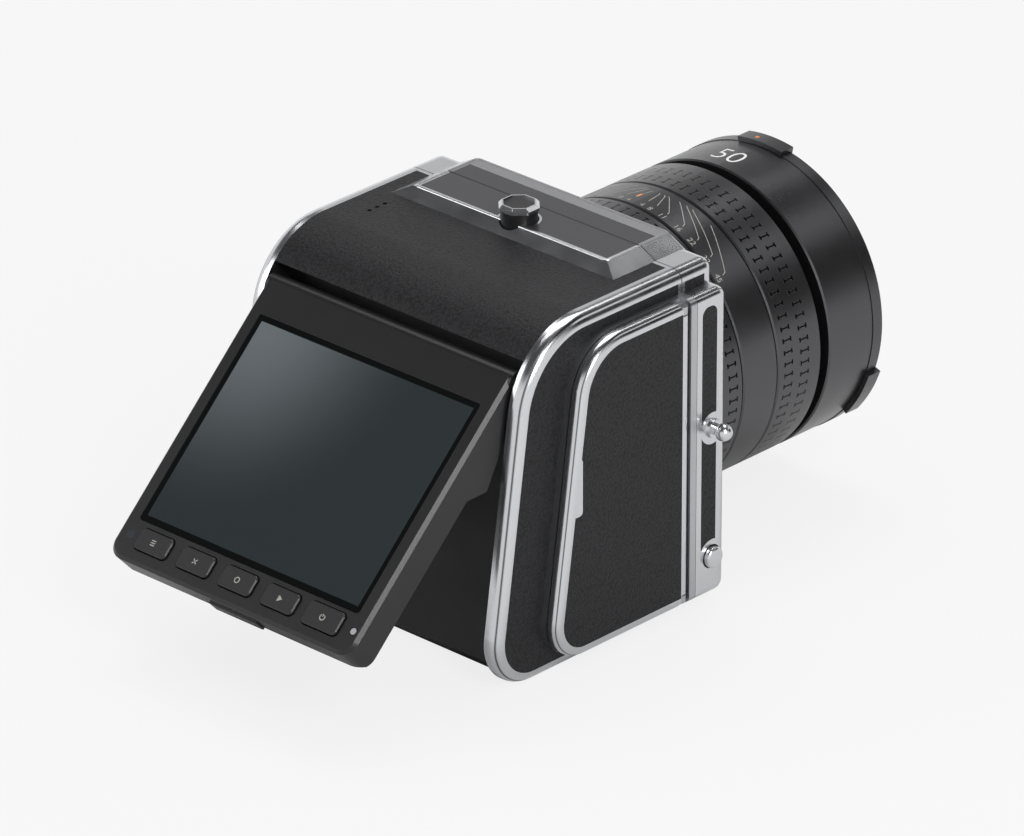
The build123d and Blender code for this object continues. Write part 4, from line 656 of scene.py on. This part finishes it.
flag = addNode(tree, "MapRange", {"Value": off, "From Min": studio["flagFull"],
                                  "From Max": studio["flagGone"], "To Min": 1.0, "To Max": 0.0},
               interpolation_type="SMOOTHSTEP")
mirrored = linear(studio["paper"])
for mask, tone in ((rise, studio["ceiling"]), (flag, studio["flag"])):
    mirrored = addNode(tree, "Mix", {"Factor": mask, "A": mirrored, "B": linear(tone)}, data_type="RGBA")
rays = addNode(tree, "LightPath").outputs
shiny = anyOf(tree, rays["Is Glossy Ray"], rays["Is Transmission Ray"])
paper = addNode(tree, "Background", {"Color": linear(studio["paper"]), "Strength": 1.0})
room = addNode(tree, "Background", {"Color": mirrored, "Strength": 1.0})
light = addNode(tree, "Background", {"Color": linear("#ffffff"), "Strength": studio["worldLight"]})
lit = addNode(tree, "MixShader", {0: shiny, 1: light, 2: room})
seenWorld = addNode(tree, "MixShader", {0: rays["Is Camera Ray"], 1: lit, 2: paper})
addNode(tree, "OutputWorld", {"Surface": seenWorld})


discLook = {"spokes": 64, "innermost": 0.0005}  # the innermost ring is too small to see


def flatDisc(name, reach, height, material):
    # points are the cosine and sine of the turn times each ring's reach, all at one height
    turn = np.linspace(0, 2 * np.pi, discLook["spokes"], endpoint=False)
    level = np.full((len(turn), len(reach)), height)
    points = np.stack([np.outer(np.cos(turn), reach), np.outer(np.sin(turn), reach), level], -1)
    return addObject(name, newMesh(name, points.reshape(-1, 3), gridFaces(*level.shape), material))


# Floor: a wide disc that looks like the paper where it is seen, and keeps the object's shadow
floorLook = {"radius": 3.0, "rings": 12, "paperShare": 0.9}
floorMaterial = bpy.data.materials.new("PaleStudioFloor")
floorMaterial.use_nodes = True
tree = floorMaterial.node_tree
tree.nodes.clear()
rays = addNode(tree, "LightPath").outputs
seen = anyOf(tree, rays["Is Camera Ray"], rays["Is Glossy Ray"], rays["Is Transmission Ray"])
share = addNode(tree, "Math", {0: seen, 1: floorLook["paperShare"]}, operation="MULTIPLY")
matt = addNode(tree, "BsdfDiffuse", {"Color": linear(studio["paper"])})
paper = addNode(tree, "Emission", {"Color": linear(studio["paper"]), "Strength": 1.0})
addNode(tree, "OutputMaterial", {"Surface": addNode(tree, "MixShader", {0: share, 1: matt, 2: paper})})
floorReach = np.linspace(discLook["innermost"], 1, floorLook["rings"]) ** 2 * floorLook["radius"]
floor = flatDisc("studio_floor", floorReach, 0.0, floorMaterial)


def softbox(name, place, aim, width, height, power):
    lamp = bpy.data.lights.new(name, "AREA")
    lamp.shape = "RECTANGLE"
    lamp.size, lamp.size_y, lamp.energy = width, height, power
    stand = addObject(name, lamp)
    stand.location = place
    stand.rotation_euler = (Vector(place) - Vector(aim)).to_track_quat("Z", "Y").to_euler()


middle = (0, 0, 0.045)
softbox("top_softbox", (0.25, -0.25, 1.05), middle, 0.9, 0.7, 6.0)
softbox("left_softbox", (0.9, 0.9, 0.5), middle, 0.5, 0.8, 3.0)
softbox("rim_softbox", (-0.48, -0.72, 0.73), middle, 0.75, 0.2, 0.5)
softbox("edge_softbox", (-0.84, 0.34, 0.66), middle, 0.3, 0.6, 6.5)

# Pale cloth on the table round the camera, seen in the metal alone: it keeps the chrome off white
clothLook = {"radius": 0.42, "height": 0.0004, "rings": 4}
cloth = plainFinish("PaleStudioCloth", {"Roughness": 0.9}, tone=(0.6, 2.0, "#e0e0e0", "#d2d2d2"))
clothReach = np.linspace(discLook["innermost"], 1, clothLook["rings"]) * clothLook["radius"]
clothSheet = flatDisc("studio_cloth", clothReach, clothLook["height"], cloth)
clothSheet.visible_camera = clothSheet.visible_diffuse = False
clothSheet.visible_shadow = clothSheet.visible_transmission = False

# Camera at the photograph's place: angles in degrees, distance in metres, focal length, aim and
# slide in the picture's plane in millimetres
view = {"azimuth": 223.47, "elevation": 25.78, "roll": -0.07, "distance": 2.2405, "focal": 322.28,
        "aim": (0.0, 5.8, 44.7), "slide": (-7.669, -7.013), "sensor": 36.0, "clipEnd": 20.0}
azimuth, elevation, roll = (math.radians(view[key]) for key in ("azimuth", "elevation", "roll"))
back = Vector((math.sin(azimuth) * math.cos(elevation), -math.cos(azimuth) * math.cos(elevation),
               math.sin(elevation)))
right = (-back).cross(Vector((0, 0, 1))).normalized()
up = right.cross(-back)
turnedRight = right * math.cos(roll) + up * math.sin(roll)
turnedUp = up * math.cos(roll) - right * math.sin(roll)
aim = (Vector(view["aim"]) + turnedRight * view["slide"][0] + turnedUp * view["slide"][1]) * mm
cameraData = bpy.data.cameras.new("photo_camera")
cameraData.sensor_width = view["sensor"]
cameraData.lens = view["focal"]
cameraData.clip_end = view["clipEnd"]
camera = addObject("photo_camera", cameraData)
pose = Matrix((turnedRight, turnedUp, back)).transposed().to_4x4()
pose.translation = aim + back * view["distance"]
camera.matrix_world = pose
bpy.context.scene.camera = camera
bpy.context.scene.view_settings.view_transform = "Standard"
print("studio and camera set")
